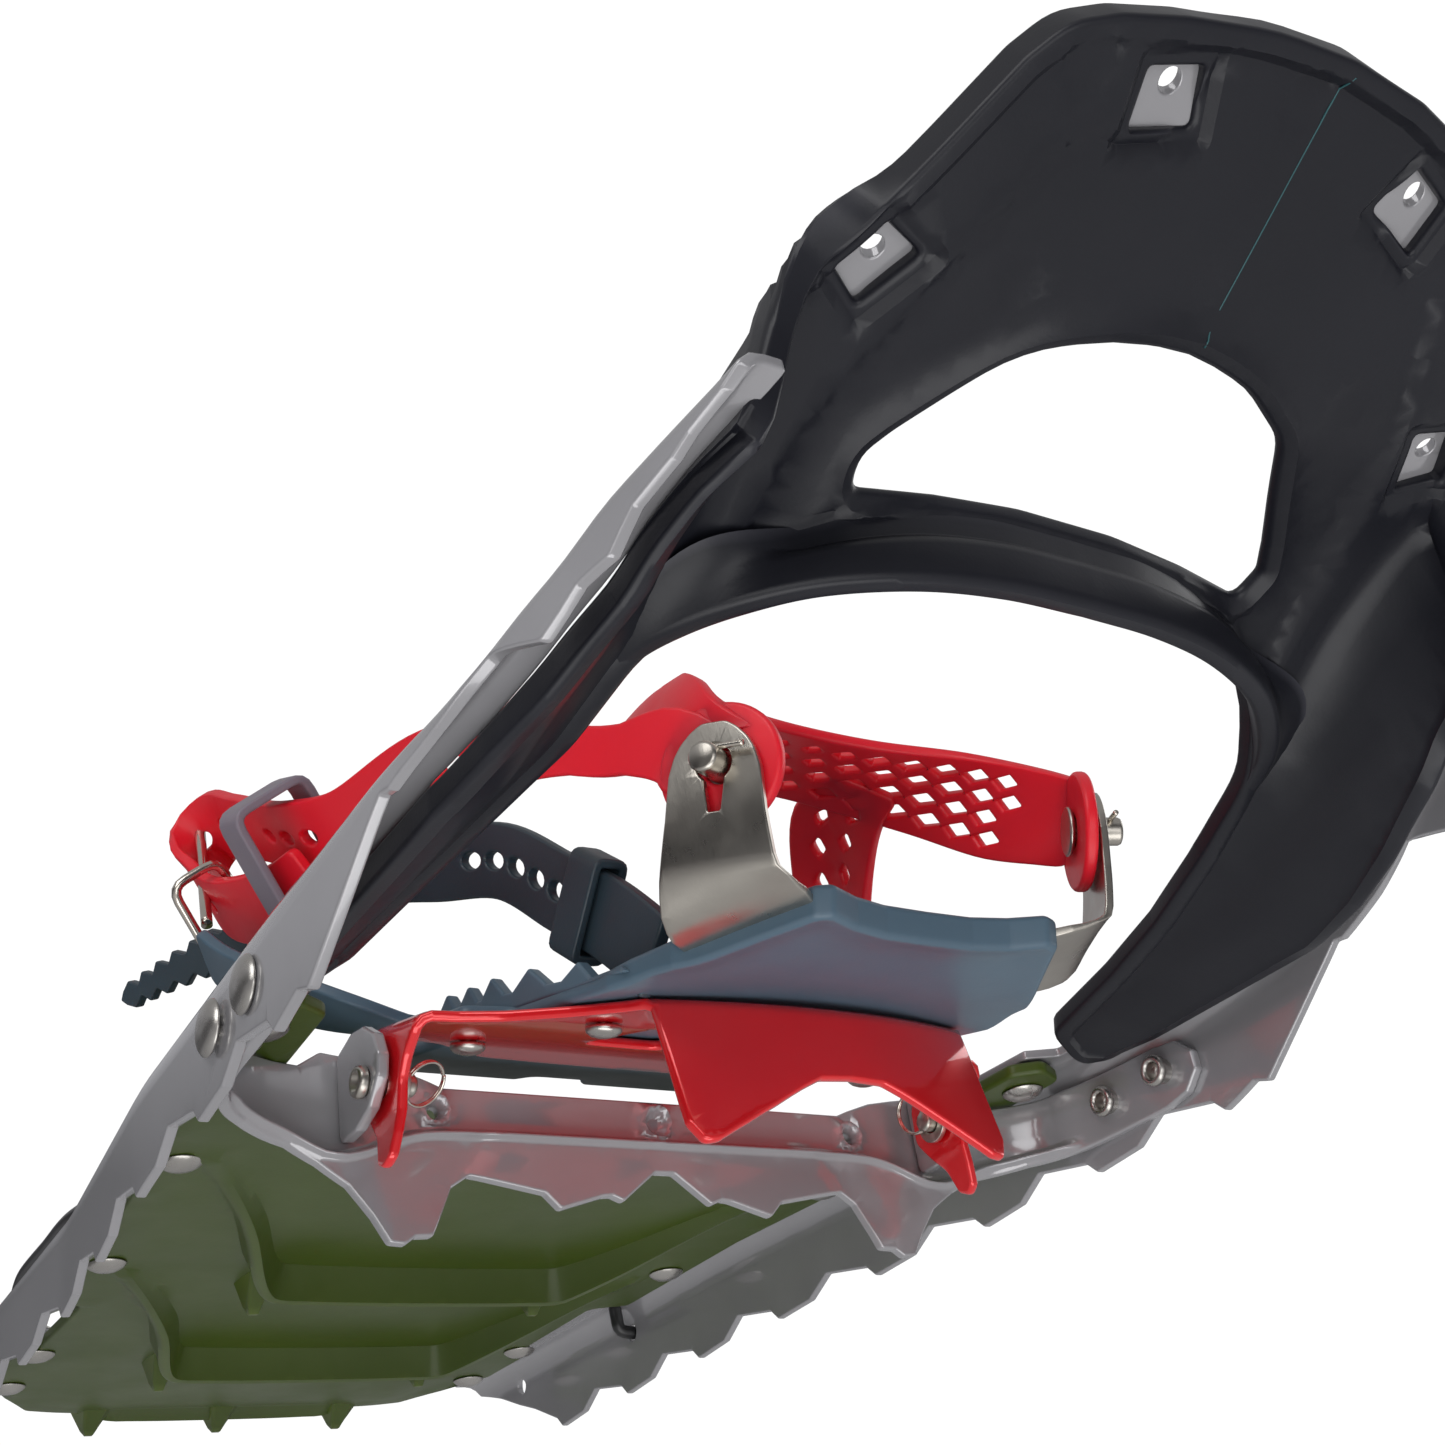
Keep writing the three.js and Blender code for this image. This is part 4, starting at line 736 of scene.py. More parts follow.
for i, (y, z) in enumerate([(45, 12.5), (28.5, 12)]):
    head = [(0, 0.9), (1.55, 0.8), (1.7, -0.9), (1.95, -1.6), (2.4, -1.9), (2.9, -1.7), (3.25, -1.2),
            (3.3, -0.5), (2.6, -0.3), (2.6, 6.3), (4.6, 6.35), (4.85, 6.6),
            (4.8, 6.9), (4.2, 7.5), (3.4, 7.9), (2.2, 8.15), (1.0, 8.2), (0, 8.2)]
    both(f"crossbar_rivet_{i + 1}", lathe(head, (94.7, y, z), (1, 0, 0)), "deck", RIVET)

# --- tail deck
tail_loop = rounded(mirrored([
    [0, -265], [30, -264.5], [57, -261], [66, -247], [74, -231], [74.5, -204], [70, -200], [70, -158],
    [80, -154], [80.5, -96], [84, -60], [88, -22], [91, 2], [91.5, 20], [84, 24], [77.5, 20], [76, -8],
    [60, -14], [30, -18]])[::-1], 3, 2.5)


def rib_line(mid, arm_x, arm_y):
    half = [[30, mid], [38, mid + 2], [arm_x * 0.75, arm_y * 0.55 + mid * 0.45], [arm_x, arm_y]]
    return spline(np.vstack([flip(half[::-1]), half]), 90)


RIBS = [rib_line(-118, 74, -52), rib_line(-190, 68, -129)]


def tail_faces(p):
    x, y = p.T
    across = np.abs(x)
    z = 19.8 - 2.0 * ease((62 - across) / 18) * np.interp(y, [-265, -250, -60, -18], [0.2, 0.8, 0.7, 0.0])
    rib_tall = 9.2 * np.clip((72 - across) / 34, 0.12, 1)
    for rib in RIBS:
        d = distance(p, rib, closed=False)
        z -= rib_tall * (0.86 * np.exp(-(d / 2.3) ** 6) + 0.14 * np.exp(-(d / 6.0) ** 2))
    z -= 0.8 * np.exp(-((distance(p, tail_loop) - 2.4) / 1.4) ** 2)
    rear = np.clip((-y - 262.4) / 1.6, 0, 1) * np.clip((57 - across) / 3, 0, 1)
    return cols(x, y, z - 2.6 * ease(rear)), cols(x, y, 22.6)


rib_sides = []
for rib in RIBS:
    ahead = unit(np.gradient(rib, axis=0))
    rib_sides += [rib + cols(-ahead[:, 1], ahead[:, 0]) * d for d in (-3.6, -2.2, -1.4, 0, 1.4, 2.2, 3.6)]
rivet_y, rivet_x = [13, -55, -123, -201, -234], [86.5, 79, 74, 69, 68]
tail = sheet(tail_loop, [], tail_faces, edge=0.8, pitch=3.6, crease_open=rib_sides)


def fin(x, y, tall, length):
    """Wedge-shaped fin with a steep back and a sloping front, hung from the deck."""
    half, root = 4.6, 20.6
    path = [(0.0, 0.0), (0.7, -tall * 0.9), (1.6, -tall), (3.2, -tall), (4.2, -tall * 0.85), (length, 0.0)]
    verts = [(x + s * half * (1 + 0.62 * dz / tall), y + dy, 20.4 + dz * (1 if abs(s) < 1 else 0.86))
             for dy, dz in path for s in (-1, -0.6, 0.6, 1)]
    top, end = len(verts), len(verts) - 4
    verts += [(x + s * half, y + dy, root) for s in (-1, 1) for dy in (0, length)]
    faces = [(k + j, k + j + 1, k + j + 5, k + j + 4) for k in range(0, end, 4) for j in range(3)]
    faces += [(top, top + 1, top + 3, top + 2), (*range(0, top, 4), top + 1, top),
              (top + 2, top + 3, *range(end + 3, 0, -4)), (0, top, top + 2, 3, 2, 1),
              (end, end + 1, end + 2, end + 3, top + 3, top + 1)]
    return np.array(verts, float), faces


fins = merge(*[fin(x, -268.2, 7, 13) for x in (-37.4, 0, 37.4)],
             *[fin(x, y, 10, 14) for x in (-37, 37) for y in (-133, -205)])
finish_piece("tail_deck_panel", tail, "deck", OLIVE, "tail_deck", sharp=45)
finish_piece("tail_deck_fins", fins, "deck", OLIVE, sharp=60)
for i, (x, y) in enumerate(zip(rivet_x, rivet_y)):
    head = [(0, -2.1), (1.4, -2.05), (2.8, -1.7), (3.9, -1.1), (4.5, -0.5), (4.6, -0.2), (2, -0.1), (2, 5.6),
            (3.6, 5.7), (3.5, 6.2), (2.6, 6.7), (0, 7)]
    both(f"tail_rivet_{i + 1}", lathe(head, (x, y, 19.8), (0, 0, 1), 28), "deck", RIVET)

# --- heel lift
LIFT_R, LEG, RISE, REACH = 1.8, 83, 12.6, 68
half_wire = np.array([[90.5, 0, 0], [86.5, 0, 0], [LEG + 0.3, 0, 0.8], [LEG - 0.4, 0, 4], [LEG - 0.4, 0, 9],
                      [LEG - 0.2, 3, RISE - 1.6], [LEG, 8, RISE - 0.6], [LEG, 28, RISE],
                      [LEG, REACH - 18, RISE], [LEG - 4, REACH - 5, RISE], [LEG - 16, REACH, RISE],
                      [40, REACH, RISE], [12, REACH, RISE]])
wire_route = np.vstack([half_wire, half_wire[::-1] * (-1, 1, 1)]) + (0, -166, 15.5)
finish_piece("heel_lift_wire", tube(spline(wire_route, 320), LIFT_R, sides=16), "heel_lift", WIRE,
             "heel_lift")

# --- crampon, in the binding's level frame
PLATE_TOP, PLATE, BEND = 11.6, 2.0, 3.4
EAR_X = 64.1 - BEND
EAR_ARC = BEND * math.pi / 2
EAR_LEAN, LEAN_Z = 0.19, -5
SKIRT_HALF = 33.4
tooth_edge = track([[0, -1.4], [0.2, -1.8], [0.32, -3.6], [0.86, -13.2], [0.94, -13.6], [1, -10.4]])


def skirt(x):
    """Where the skirt's bend starts, and the angle that it turns through."""
    t = np.clip(np.abs(x) / SKIRT_HALF, 0, 1)
    turn_by = math.pi / 2 - np.arctan(0.33 + 0.19 * t)
    return 51.8 - 6.9 * t ** 2 - BEND * np.tan(turn_by / 2), turn_by


def skirt_v(x, z):
    """Flat-pattern distance of a skirt point at height z."""
    start, turn_by = skirt(x)
    end_z = PLATE_TOP - BEND * (1 - np.cos(turn_by))
    return start + BEND * turn_by + (end_z - z) / np.sin(turn_by)


def crampon_at(p, inset):
    x, v = p.T
    r = BEND - inset
    across = np.abs(x) - EAR_X
    a = np.clip(across / BEND, 0, math.pi / 2)
    ear_z = PLATE_TOP - BEND + r * np.cos(a) - np.maximum(across - EAR_ARC, 0)
    ear_x = np.where(across > 0, EAR_X + r * np.sin(a), np.abs(x)) + EAR_LEAN * np.maximum(LEAN_Z - ear_z, 0)
    start, turn_by = skirt(x)
    d = v - start
    b = np.clip(d / BEND, 0, turn_by)
    rest = np.maximum(d - BEND * turn_by, 0)
    y = np.where(d > 0, start + r * np.sin(b) + rest * np.cos(turn_by), v)
    z = np.where(d > 0, PLATE_TOP - BEND + r * np.cos(b) - rest * np.sin(turn_by), PLATE_TOP - inset)
    return from_binding(cols(np.sign(x) * ear_x, y, np.where(across > 0, ear_z, z)))


def ear_u(z):
    return EAR_X + EAR_ARC + (PLATE_TOP - BEND - z)


half = [[SKIRT_HALF * t, float(skirt_v(SKIRT_HALF * t, tooth_edge(t)))]
        for t in (0, 0.1, 0.2, 0.32, 0.5, 0.68, 0.86, 0.94, 1.0)]
half += [[33.6, 46.2], [36.2, 40], [42, 31], [50, 21.5], [57, 17.2], [EAR_X + 0.5, 16]]
half += [[ear_u(z), y] for z, y in (
    (8, 14.4), (4, 11), (0, 9.4), (-5, 9.7), (-9, 10.2), (-13.2, 10.3), (-15.2, 8.3), (-14.6, 5.4),
    (-10, 2.6), (-7.2, -1.6), (-3.6, -6), (3, -7.4), (7.8, -6.6))]
half += [[EAR_X + 0.5, -4.4], [50, -7], [36, -18], [20, -19.2], [0, -19.6]]
radii = [3] * 6 + [2.6, 2.6, 3, 1.5, 3, 6, 6, 4, 2] + [4] * 5 + [1.8] * 3 + [5, 4, 3, 4, 2, 3, 6, 6, 6, 6]
crampon_loop = rounded(np.vstack([half, flip(half[-2:0:-1])]), radii + radii[-2:0:-1], 1.8)
light_hole = rounded([[9, 6], [26, 6], [22, 26], [12, 30]], 2.5, 1.5)
pin_hole = circle(ear_u(0.24), 1.79, 2.35)
crampon_holes = [light_hole, flip(light_hole), pin_hole, flip(pin_hole)]
across_x, ear_y = np.arange(-33, 33.1, 1.6), np.arange(-5.5, 16, 1.6)
skirt_start, skirt_turn = skirt(across_x)
fold_lines = [cols(across_x, skirt_start + BEND * skirt_turn * t)
              for t in (-0.25, 0, 0.2, 0.4, 0.6, 0.8, 1.0, 1.25)]
fold_lines += [cols(side * (EAR_X + EAR_ARC * t), ear_y)
               for side in (-1, 1) for t in (-0.2, 0, 0.2, 0.4, 0.6, 0.8, 1.0, 1.2)]
crampon = sheet(crampon_loop, crampon_holes, lambda p: (crampon_at(p, PLATE), crampon_at(p, 0.0)), edge=0.7,
                pitch=2.8, crease_open=fold_lines)
finish_piece("crampon_plate", crampon, "binding", RED, "crampon", sharp=50)
for i, (x, y) in enumerate([(33, 27), (45.8, -2)]):
    head = [(0, -2.5), (1.2, -2.45), (2.4, -2.1), (3.2, -1.5), (3.35, -0.9), (3.3, -0.35), (1.6, -0.25),
            (1.6, 4.1), (3.4, 4.15), (3.4, 5.1), (0, 5.2)]
    v, f = lathe(head, (x, y, PLATE_TOP - PLATE), (0, 0, 1), 28)
    both(f"crampon_rivet_{i + 1}", (from_binding(v), f), "binding", RIVET)

# --- pivot pins, washers, split rings
PIN_Y, PIN_Z = 11.0, 11.8
pin = lathe([(0, 0), (1.7, 0.0), (2.05, 0.35), (2.1, 0.7), (2.1, 9.7), (2.8, 9.72), (3.0, 9.95), (3.0, 10.8),
             (2.75, 11.3), (2.3, 11.5), (1.75, 11.4), (1.6, 10.4), (0, 10.3)], (57.9, PIN_Y, PIN_Z),
             (1, 0, 0))
both("pivot_pin", pin, "binding", STEEL)
washer = lathe([(2.35, 0.1), (2.45, 0), (4.15, 0), (4.3, 0.15), (4.3, 1.05), (4.15, 1.2), (2.45, 1.2),
                (2.35, 1.1), (2.35, 0.1)], (60.2, PIN_Y, PIN_Z), (1, 0, 0))
both("pivot_washer", washer, "binding", STEEL)
RING_R, RING_WIRE = 4.3, 0.3


def split_ring(x, towards):
    """Two full turns of wire that pass through the pin's hole."""
    d, t = unit(towards), unit((0, 0.707, 0.707))
    a = np.linspace(0.35, 0.35 + 4 * math.pi, 150)[:, None]
    wind = np.tanh((a - a.mean()) / 1.2) * 0.28
    centre = np.array([x, PIN_Y, PIN_Z]) + d * RING_R
    return tube(centre + (np.cos(a) * d + np.sin(a) * t) * RING_R + wind * np.cross(d, t), RING_WIRE,
                sides=10)


for side, x, towards in (("right", 59.5, (-0.95, -0.22, 0.22)), ("left", -59.5, (0.2, -0.7, 0.7))):
    node = f"pivot_ring_{side}"
    finish_piece(f"{node}_wire", split_ring(x, towards), node, BRIGHT, node)

# --- toe base
base_curve = track([[-58, 0], [46, 0], [60, 2.2], [72, 5.6], [86, 9.2]], 3)
base_loop = rounded(mirrored([[0, 79], [9, 79.2], [16, 80.6], [22.5, 83.2], [25.5, 82], [38.5, 59], [42, 44],
                              [42, 9], [51, 6], [51, -9], [42, -12], [42, -40], [38, -58], [8, -58],
                              [6, -52]]),
                    2.2, 2.2)


def base_faces(p):
    x, y = p.T
    lip = 1.5 * ease((y - 52) / 14) * ease(1 - distance(p, base_loop) / 7)
    z = 12 + base_curve(y) - lip
    thick = 3 + 1.4 * np.clip((y - 40) / 8, 0, 1) + lip
    return from_binding(cols(x, y, z)), from_binding(cols(x, y, z + thick))


base = sheet(base_loop, [], base_faces, edge=1.2, pitch=3.0, rings=4)
teeth = [[50, 14.4], [48, 15.6], [38, 15.4], [33, 19], [27, 16.6], [21.4, 17], [14.2, 21.1], [8, 17.8],
         [4.4, 18], [-1.2, 22], [-5.2, 18.4], [-7, 18.4], [-11.3, 22], [-15, 18.6], [-17, 18.6],
         [-20.9, 22], [-25, 18], [-32, 14.2]]
flange = sheet(rounded(teeth, 0.6, 1.8), [], upright(39.2, 42.0, from_binding), edge=0.7, pitch=3)
finish_piece("toe_base_moulding", merge(base, flange, mirror(flange)), "binding", BLUE, "toe_base", sharp=50)

# --- side brackets and cradle pins
SLANT = math.radians(31)
OUT = np.array([math.cos(SLANT), math.sin(SLANT), 0.0])
SIDE = np.array([-math.sin(SLANT), math.cos(SLANT), 0.0])
FOOT_Y, PIN_UP, BRACKET = 72.6, 22.7, 1.5
FOOT = np.array([33.6, FOOT_Y, 12 + float(np.interp(FOOT_Y, [60, 72, 86], [2.2, 5.6, 9.2])) + 2.9])


def from_bracket(o, w, u):
    """Out from the right-hand bracket, along its width and up, to the measuring frame."""
    return from_binding(FOOT + np.multiply.outer(o, OUT) + np.multiply.outer(w, SIDE)
                        + np.multiply.outer(u, [0, 0, 1.0]))


bracket_route = spline([[-18, 0], [-8, 0], [-1, 0.1], [4.2, 1.4], [6.8, 5], [7.5, 10], [7.7, 16], [7.7, 23],
                        [7.7, 29.6]], 160)
bracket_long = float(steps(bracket_route)[-1])
bracket_half = track([[0, 11], [0.36, 12], [0.45, 11.4], [0.56, 10], [0.7, 8.9], [0.84, 8.2], [0.92, 6.9],
                      [0.97, 4.6], [1, 2.2]])
pin_s = bracket_long - 6.9


def bracket_at(p, deep):
    s, w = p.T
    pos, run = along(bracket_route, s)
    o, u = pos[:, 0] + run[:, 1] * deep, pos[:, 1] - run[:, 0] * deep
    y = (FOOT + np.multiply.outer(o, OUT) + np.multiply.outer(w, SIDE))[:, 1]
    sink = (base_curve(y) - base_curve(FOOT_Y)) * np.clip(1 - u / 5, 0, 1)
    return from_bracket(o, w, u) + np.multiply.outer(sink, [0, -SIN_PITCH, COS_PITCH])


bracket_t = np.array([0.0, 0.2, 0.36, 0.45, 0.56, 0.7, 0.84, 0.9, 0.94, 0.975, 1.0])
bracket_edge = cols(bracket_t * bracket_long, bracket_half(bracket_t))
strip_radii = [1] * 7 + [5, 5, 5, 3]
strip = np.vstack([bracket_edge, bracket_edge[::-1] * (1, -1)])
strip_loop = rounded(strip, strip_radii + strip_radii[::-1], 1.6)
round_part = np.linspace(math.radians(215), math.radians(505), 22)
key_hole = rounded(np.vstack([[[pin_s - 8, 1.1], [pin_s - 8, -1.1]],
                              cols(pin_s + 3.2 * np.cos(round_part), 3.2 * np.sin(round_part))]), 0.4, 1.2)
curl = [cols(s, np.linspace(-11, 11, 15)) for s in np.arange(15, 30, 1.1)]
bracket = sheet(strip_loop, [key_hole], lambda p: (bracket_at(p, BRACKET), bracket_at(p, 0.0)), edge=0.35,
                pitch=2.6, crease_open=curl)
both("side_bracket", bracket, "binding", STEEL, sharp=50)

pin_at = from_bracket(0, 0, PIN_UP)
out_axis = from_bracket(1, 0, PIN_UP) - pin_at
side_axis = from_bracket(0, 1, PIN_UP) - pin_at
up_axis = from_bracket(0, 0, PIN_UP + 1) - pin_at
cradle_pin = lathe([(0, -4.4), (4.2, -4.4), (4.55, -4.2), (4.6, -3.9), (4.3, -3.5), (2.6, -3.4), (2.6, 5.1),
                    (2.35, 5.6), (1.9, 5.8), (0, 5.8)], pin_at + out_axis * 7.7, out_axis)
both("cradle_pin", cradle_pin, "binding", STEEL)
clip_mid = pin_at + out_axis * 11.3 + up_axis * 1.8
clip = tube([clip_mid + side_axis * t for t in np.linspace(-2.6, 6.4, 20)], 0.5, sides=12)
both("cradle_pin_clip", clip, "binding", BRIGHT)

# --- cradle
LOBE_OUT, LOBE_THICK = 5.9, 2.4


def on_lobe(side, w, u):
    return from_bracket(LOBE_OUT, w, u + PIN_UP) * (side, 1, 1)


def staggered(u, v, pitch_u, pitch_v, columns, rows):
    """Centres of a lattice whose odd rows are half a pitch along."""
    return [(u + i * pitch_u + (j % 2) * pitch_u / 2, v + j * pitch_v) for i in columns for j in range(rows)]


def loft(rows, count=140):
    """Surface through rows of points: returns f(a, b) with a along the rows and b across them, both 0..1."""
    stack = np.array([spline(row, count) for row in rows])

    def at(a, b):
        i = np.clip(np.asarray(a) * (count - 1), 0, count - 1.001)
        j = np.clip(np.asarray(b) * (len(rows) - 1), 0, len(rows) - 1.001)
        i0, j0 = i.astype(int), j.astype(int)
        fi, fj = (i - i0)[:, None], (j - j0)[:, None]
        low = stack[j0, i0] * (1 - fi) + stack[j0, i0 + 1] * fi
        high = stack[j0 + 1, i0] * (1 - fi) + stack[j0 + 1, i0 + 1] * fi
        return low * (1 - fj) + high * fj

    return at


def skin(surface, long, wide, thick, swell=None):
    """Two faces of a sheet over a lofted surface, in flat coordinates of long x wide millimetres."""
    def faces(p):
        a, b = p[:, 0] / long, p[:, 1] / wide
        e = 0.01
        run = surface(np.clip(a + e, 0, 1), b) - surface(np.clip(a - e, 0, 1), b)
        cross = surface(a, np.clip(b + e * 3, 0, 1)) - surface(a, np.clip(b - e * 3, 0, 1))
        n = unit(np.cross(run, cross))
        mid = surface(np.clip(a, 0, 1), np.clip(b, 0, 1))
        if swell is not None:
            mid = mid + n * swell(p)[:, None]
        return mid - n * thick / 2, mid + n * thick / 2
    return faces


band_front = [on_lobe(1, 7, 6), [39.5, 96, 47], [38.5, 91, 54], [33, 80, 62], [22, 70, 66], [0, 63, 68.5],
              [-18, 66, 66], [-33, 76, 60.5], [-38.5, 87, 52.5], [-39.5, 96, 45], on_lobe(-1, 7, 6)]
band_rear = [on_lobe(1, -8, 3), [41, 82, 42], [38, 73, 53], [32, 56, 65.5], [20, 40, 73], [0, 32, 74.5],
             [-20, 36, 70.5], [-36, 49, 58.5], [-42, 64, 45.5], [-42.6, 79, 36.5], on_lobe(-1, -9, -4)]
BAND_LONG, BAND_WIDE = 170.0, 26.0
band = loft([band_front, band_rear])
band_holes = []
for u, v in staggered(88, 5.2, 7.6, 5.2, range(-1, 9), 4):
    if 78 < u < 146:
        size = 0.55 + 0.5 * ease((u - 84) / 34)
        band_holes.append(diamond(u, v, 3.2 * size, 2.1 * size, 0.45))
band_holes += [diamond(u, v, 2.2, 1.4, 0.8) for u, v in staggered(36, 9.6, 7.2, 6.0, range(4), 2)]


def band_swell(p):
    return 0.9 * np.sin(np.pi * p[:, 1] / BAND_WIDE)


band_part = sheet(rounded(box(0, BAND_LONG, 0, BAND_WIDE), 3, 2.4), band_holes,
                  skin(band, BAND_LONG, BAND_WIDE, LOBE_THICK, band_swell), edge=0.8, pitch=2.4)


def lobe_faces(p):
    w, u = p.T
    return [from_bracket(LOBE_OUT + side * LOBE_THICK / 2, w, u + PIN_UP) for side in (-1, 1)]


lobe = sheet(circle(0, 0, 11, 60), [circle(0, 0, 2.9, 28)], lobe_faces, edge=0.8, pitch=2.6)
WALL_LONG, WALL_WIDE = 52, 21
wall = loft([
    [[-31.5, 55, 62], [-33, 46, 60], [-36.5, 36, 55], [-37, 30, 44], [-35.5, 27, 25]],
    [[-26, 52, 66], [-30, 36, 66.5], [-37.5, 24, 58.5], [-38.4, 20, 45], [-36.6, 18, 27]],
    [[-20, 50, 69], [-24, 30, 71.5], [-35, 12, 62], [-37.5, 10, 46], [-35.5, 10, 29.5]]])
wall_holes = [diamond(u, v, 2.4, 1.5, 0.8) for u, v in staggered(9, 7, 7.0, 7.0, range(5), 2)]
wall_part = sheet(rounded(box(0, WALL_LONG, 0, WALL_WIDE), 3, 2.4), wall_holes,
                  skin(wall, WALL_LONG, WALL_WIDE, LOBE_THICK), edge=0.8, pitch=2.4)


def ribbon(stops, thick, tip, holes, outline):
    """Strap along stops of [x, y, z, across]; flat coordinates run along its length and across its width."""
    stops = np.array(stops, float)
    centre = spline(stops[:, :3], 240)
    long = float(steps(centre)[-1])
    given = steps(stops[:, :3])
    given *= long / given[-1]

    def faces(p):
        pos, run = along(centre, np.clip(p[:, 0], 0, long))
        across = at_steps(p[:, 0], given, stops[:, 3:])
        across = unit(across - (across * run).sum(1, keepdims=True) * run)
        n = np.cross(run, across)
        mid = pos + across * p[:, 1:2]
        return mid - n * thick / 2, mid + n * thick / 2

    return sheet(rounded(outline(long), tip, 2.2), holes(long), faces, edge=0.6, pitch=2.6)


FOLD = [0.62, 0.35, 0.7]  # across the strap where it folds back through the buckle
STRAP_THICK, STRAP_HALF = 2.4, 7.5
strap_stops = [
    [*on_lobe(1, -4, 1), 0, 0.24, 0.97], [*on_lobe(1, -9, 5), 0, 0.35, 0.93], [48, 72, 49, 0.1, 0.45, 0.88],
    [55, 57, 57, 0.16, 0.5, 0.85], [63, 37, 62, 0.3, 0.5, 0.82], [70, 14, 61, 0.4, 0.4, 0.8],
    [74, 0, 66, *FOLD], [76, -20, 78, *FOLD], [77, -34, 86, *FOLD], [78.5, -41, 85, *FOLD],
    [79.5, -42, 79, *FOLD], [78.5, -38, 71, *FOLD], [77, -30, 64, *FOLD], [74, -8, 56, *FOLD],
    [72, 4, 55, *FOLD]]


def strap_outline(long):
    """Strap that narrows to a neck between the cradle and its first hole."""
    side = [[0, STRAP_HALF], [9, 6.2], [18, 4.4], [30, 4.4], [44, 6.6], [56, STRAP_HALF], [long, STRAP_HALF]]
    return [[x, -w] for x, w in side] + [[x, w] for x, w in side[::-1]]


STRAP_HOLES = [34, 42, 50, 58, 66, 98, 106, 114, 130, 140, 150, 160, 170]
strap_part = ribbon(strap_stops, STRAP_THICK, 2.0,
                    lambda long: [oval(s, 0, 2.6, 1.5) for s in STRAP_HOLES if s < long - 6], strap_outline)
cradle = merge(band_part, lobe, mirror(lobe), wall_part, strap_part)
finish_piece("cradle_moulding", cradle, "binding", SOFT_RED, "cradle", sharp=50)
prong = tube(np.linspace([81.4, -31.2, 60.6], [79.5, -42, 93], 24), 1.2, sides=14)
finish_piece("buckle_prong_rod", prong, "binding", BRIGHT, "buckle_prong")


def squared(v, along_axis):
    """Unit vector nearest to v that is square to an axis."""
    v = np.array(v, float)
    return unit(v - (v @ along_axis) * along_axis)


def hoop(centre, across, normal, width, height, radius):
    a = unit(across)
    n = squared(normal, a)
    plan = rounded(box(-width / 2, width / 2, -height / 2, height / 2), min(width, height) * 0.3, 0.9)
    return tube(np.array(centre) + np.outer(plan[:, 0], a) + np.outer(plan[:, 1], n), radius, closed=True)


finish_piece("strap_buckle_loop", hoop((78.8, -30, 61.4), FOLD, (0.78, -0.24, -0.57), 22, 11, 1.0),
             "strap_buckle", BRIGHT, "strap_buckle")
SLEEVE_EDGE = 0.55


def sleeve(centre, run, across, width, height, wall_thick, length, radius):
    """Rounded rectangular sleeve round a strap."""
    run = unit(run)
    a = squared(across, run)
    n = np.cross(run, a)
    ring = turn(rounded(box(-width / 2, width / 2, -height / 2, height / 2), radius, 1.6), True)
    mitre = inward(ring)
    edge = [(SLEEVE_EDGE * (1 - math.sin(b)), SLEEVE_EDGE * (1 - math.cos(b)) - length / 2)
            for b in np.linspace(0, math.pi / 2, 5)]
    path = edge + [(t, -s) for t, s in edge[::-1]]
    path += [(wall_thick - t, -s) for t, s in edge] + [(wall_thick - t, s) for t, s in edge[::-1]]
    verts = []
    for t, s in path:
        q = ring + mitre * t
        verts.append(np.array(centre) + np.outer(q[:, 0], a) + np.outer(q[:, 1], n) + run * s)
    return np.vstack(verts), grid_faces(len(path), len(ring), closed=True)


keeper_run = squared((0.1, -0.9, 0.4), unit(FOLD))
keeper = sleeve((73.6, -1, 60.8), keeper_run, FOLD, 31.0, 18, 1.8, 8.4, 4.0)
finish_piece("strap_keeper_sleeve", keeper, "strap_keeper", KEEPER, "strap_keeper", sharp=60)

# --- link strap and heel strap
link_stops = [[42.8, -7, 31, 0, 1, -0.25], [52, -7, 31.2, 0.1, 1, -0.25], [62, -8, 33.4, 0.3, 0.9, 0],
              [71, -13, 38, 0.5, 0.8, 0.25], [78, -22, 45, 0.6, 0.6, 0.5], [82, -29, 53, 0.62, 0.4, 0.65]]
link_band = ribbon(link_stops, STRAP_THICK, 3.0, lambda long: [],
                   lambda long: box(0, long, -STRAP_HALF, STRAP_HALF))
finish_piece("link_strap_band", link_band, "binding", BLUE, "link_strap")
heel_stops = [[34.4, 60, 17.5, 0, 0.75, 0.66], [34.6, 54, 24, 0, 0.7, 0.71], [35, 47, 31, 0, 0.65, 0.76],
              [36, 33, 43, 0, 0.62, 0.78], [39, 17, 57, 0.1, 0.6, 0.78], [44, 0, 64, 0.2, 0.55, 0.8],
              [51, -12, 68, 0.3, 0.5, 0.8], [58, -25, 68, 0.35, 0.5, 0.8], [65, -37, 66, 0.35, 0.5, 0.8],
              [72, -50, 65, 0.3, 0.5, 0.8], [79, -63, 64, 0.2, 0.5, 0.85], [84, -78, 64, 0.2, 0.5, 0.85]]


def heel_outline(long):
    """Straight band that ends in a saw-toothed tongue."""
    side = [[0, STRAP_HALF], [long - 52, STRAP_HALF], [long - 46, 5.4]]
    for k in range(8):
        wide = 5.6 - 0.35 * k
        side += [[long - 43.5 + k * 5.2, wide - 1.9], [long - 40.5 + k * 5.2, wide]]
    side += [[long - 1.5, 1.6], [long, 0]]
    return side[::-1] + [[x, -y] for x, y in side]


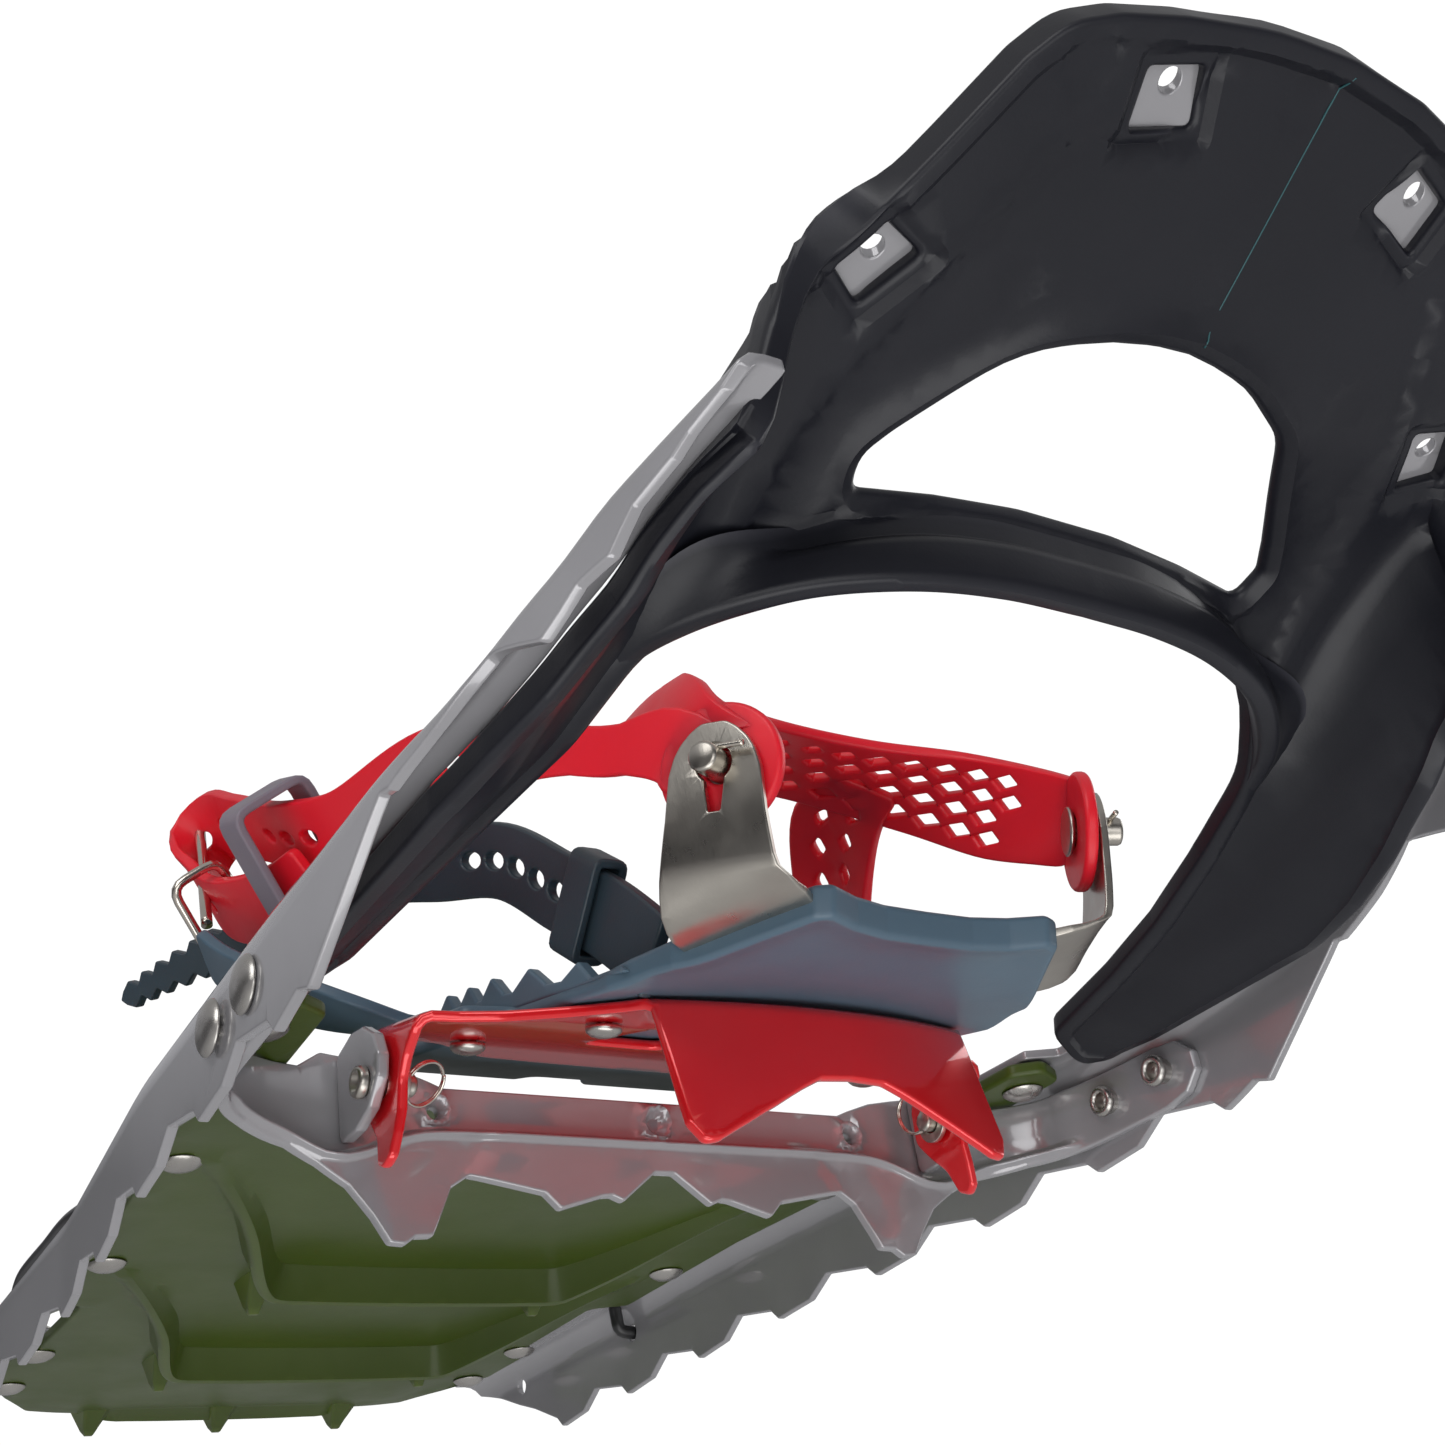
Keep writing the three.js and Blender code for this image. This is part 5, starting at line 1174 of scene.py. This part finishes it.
heel_part = ribbon(heel_stops, 2.6, 0.6, lambda long: [
    oval(s, 0, 3.0, 1.7) for s in (30, 37.5, 45, 52.5, 60, 67.5)], heel_outline)
finish_piece("heel_strap_band", heel_part, "binding", DARK_STRAP, "heel_strap")
heel_keeper = sleeve((35.4, 41, 36.2), (0.1, -0.74, 0.66), (0, 0.66, 0.75), 20, 7.6, 1.8, 9, 2.4)
finish_piece("heel_strap_keeper_sleeve", heel_keeper, "heel_strap_keeper", DARK_STRAP, "heel_strap_keeper",
             sharp=60)

# --- camera, light, floor
camera = bpy.data.cameras.new("camera")
camera.lens, camera.sensor_width = 47.19, 36  # mm
camera.clip_start = 0.01
eye = linked("camera", camera)
EYE = Vector((0.196670, 0.334922, -0.096805))  # metres, in the row frame
RIGHT = Vector((-0.8426469, 0.51946568, -0.14178015))
UP = Vector((0.16316124, 0.49724625, 0.85212944))
AHEAD = Vector((-0.51315165, -0.6949112, 0.50375968))
turned = Matrix((RIGHT, UP, -AHEAD)).transposed().to_4x4()
eye.matrix_world = Matrix.Translation(EYE) @ turned
bpy.context.scene.camera = eye

# The camera sees plain white; the part is lit by a dimmer sky that darkens round the horizon.
world = bpy.data.worlds.new("studio")
bpy.context.scene.world = world
world.use_nodes = True
world.node_tree.nodes.clear()
surface, blend, seen, lit, rays, coord, split, scale, sky = (
    world.node_tree.nodes.new("ShaderNode" + kind) for kind in (
        "OutputWorld", "MixShader", "Background", "Background", "LightPath", "TexCoord", "SeparateXYZ",
        "MapRange", "ValToRGB"))
seen.inputs["Color"].default_value = (1, 1, 1, 1)
seen.inputs["Strength"].default_value = 1.05
lit.inputs["Strength"].default_value = 0.38
scale.inputs["From Min"].default_value = -1
low_stop, high_stop = sky.color_ramp.elements
low_stop.position, low_stop.color = 0.30, (0.80, 0.79, 0.82, 1)
high_stop.position, high_stop.color = 1.0, (1.0, 1.0, 1.0, 1)
for place, level in ((0.49, 0.80), (0.54, 0.30), (0.66, 0.26), (0.72, 1.0)):
    sky.color_ramp.elements.new(place).color = (level, level, level * 1.05, 1)
for source, target in (
        (coord.outputs["Generated"], split.inputs[0]), (split.outputs["Z"], scale.inputs["Value"]),
        (scale.outputs["Result"], sky.inputs["Fac"]), (sky.outputs["Color"], lit.inputs["Color"]),
        (rays.outputs["Is Camera Ray"], blend.inputs["Fac"]), (lit.outputs[0], blend.inputs[1]),
        (seen.outputs[0], blend.inputs[2]), (blend.outputs[0], surface.inputs["Surface"])):
    world.node_tree.links.new(source, target)


def softbox(name, at, target, size, power):
    light = bpy.data.lights.new(name, "AREA")
    light.shape = "RECTANGLE"
    light.size, light.size_y = size
    light.energy = power
    obj = linked(name, light)
    obj.location = at
    obj.rotation_euler = (Vector(target) - Vector(at)).to_track_quat("-Z", "Y").to_euler()
    obj.visible_camera = False


softbox("key", (1.3, 1.0, 0.9), (0, 0, 0.03), (1.2, 1.2), 11)
softbox("front_low", (0.5, 1.3, -0.3), (0.3, 0.8, 0.5), (1.0, 0.7), 3.5)
softbox("under", (0.2, 0.35, -0.45), (0.2, 0.3501, 0.5), (0.7, 0.35), 1.6)
softbox("side", (-1.4, 0.2, 0.5), (0, 0, 0.03), (1.0, 1.0), 4.5)

FLOOR_HALF, FLOOR_Z = 4, -0.6
floor_mesh = bpy.data.meshes.new("floor")
corners = [(x, y, FLOOR_Z) for x, y in box(-FLOOR_HALF, FLOOR_HALF, -FLOOR_HALF, FLOOR_HALF)]
floor_mesh.from_pydata(corners, [], [(0, 1, 2, 3)])
floor = linked("floor", floor_mesh)
floor.data.materials.append(procedural("pale_floor", (0.86, 0.86, 0.86), (0.88, 0.88, 0.88), 0.7, 3, 60,
                                       0.05))
bpy.context.scene.view_settings.view_transform = "Standard"
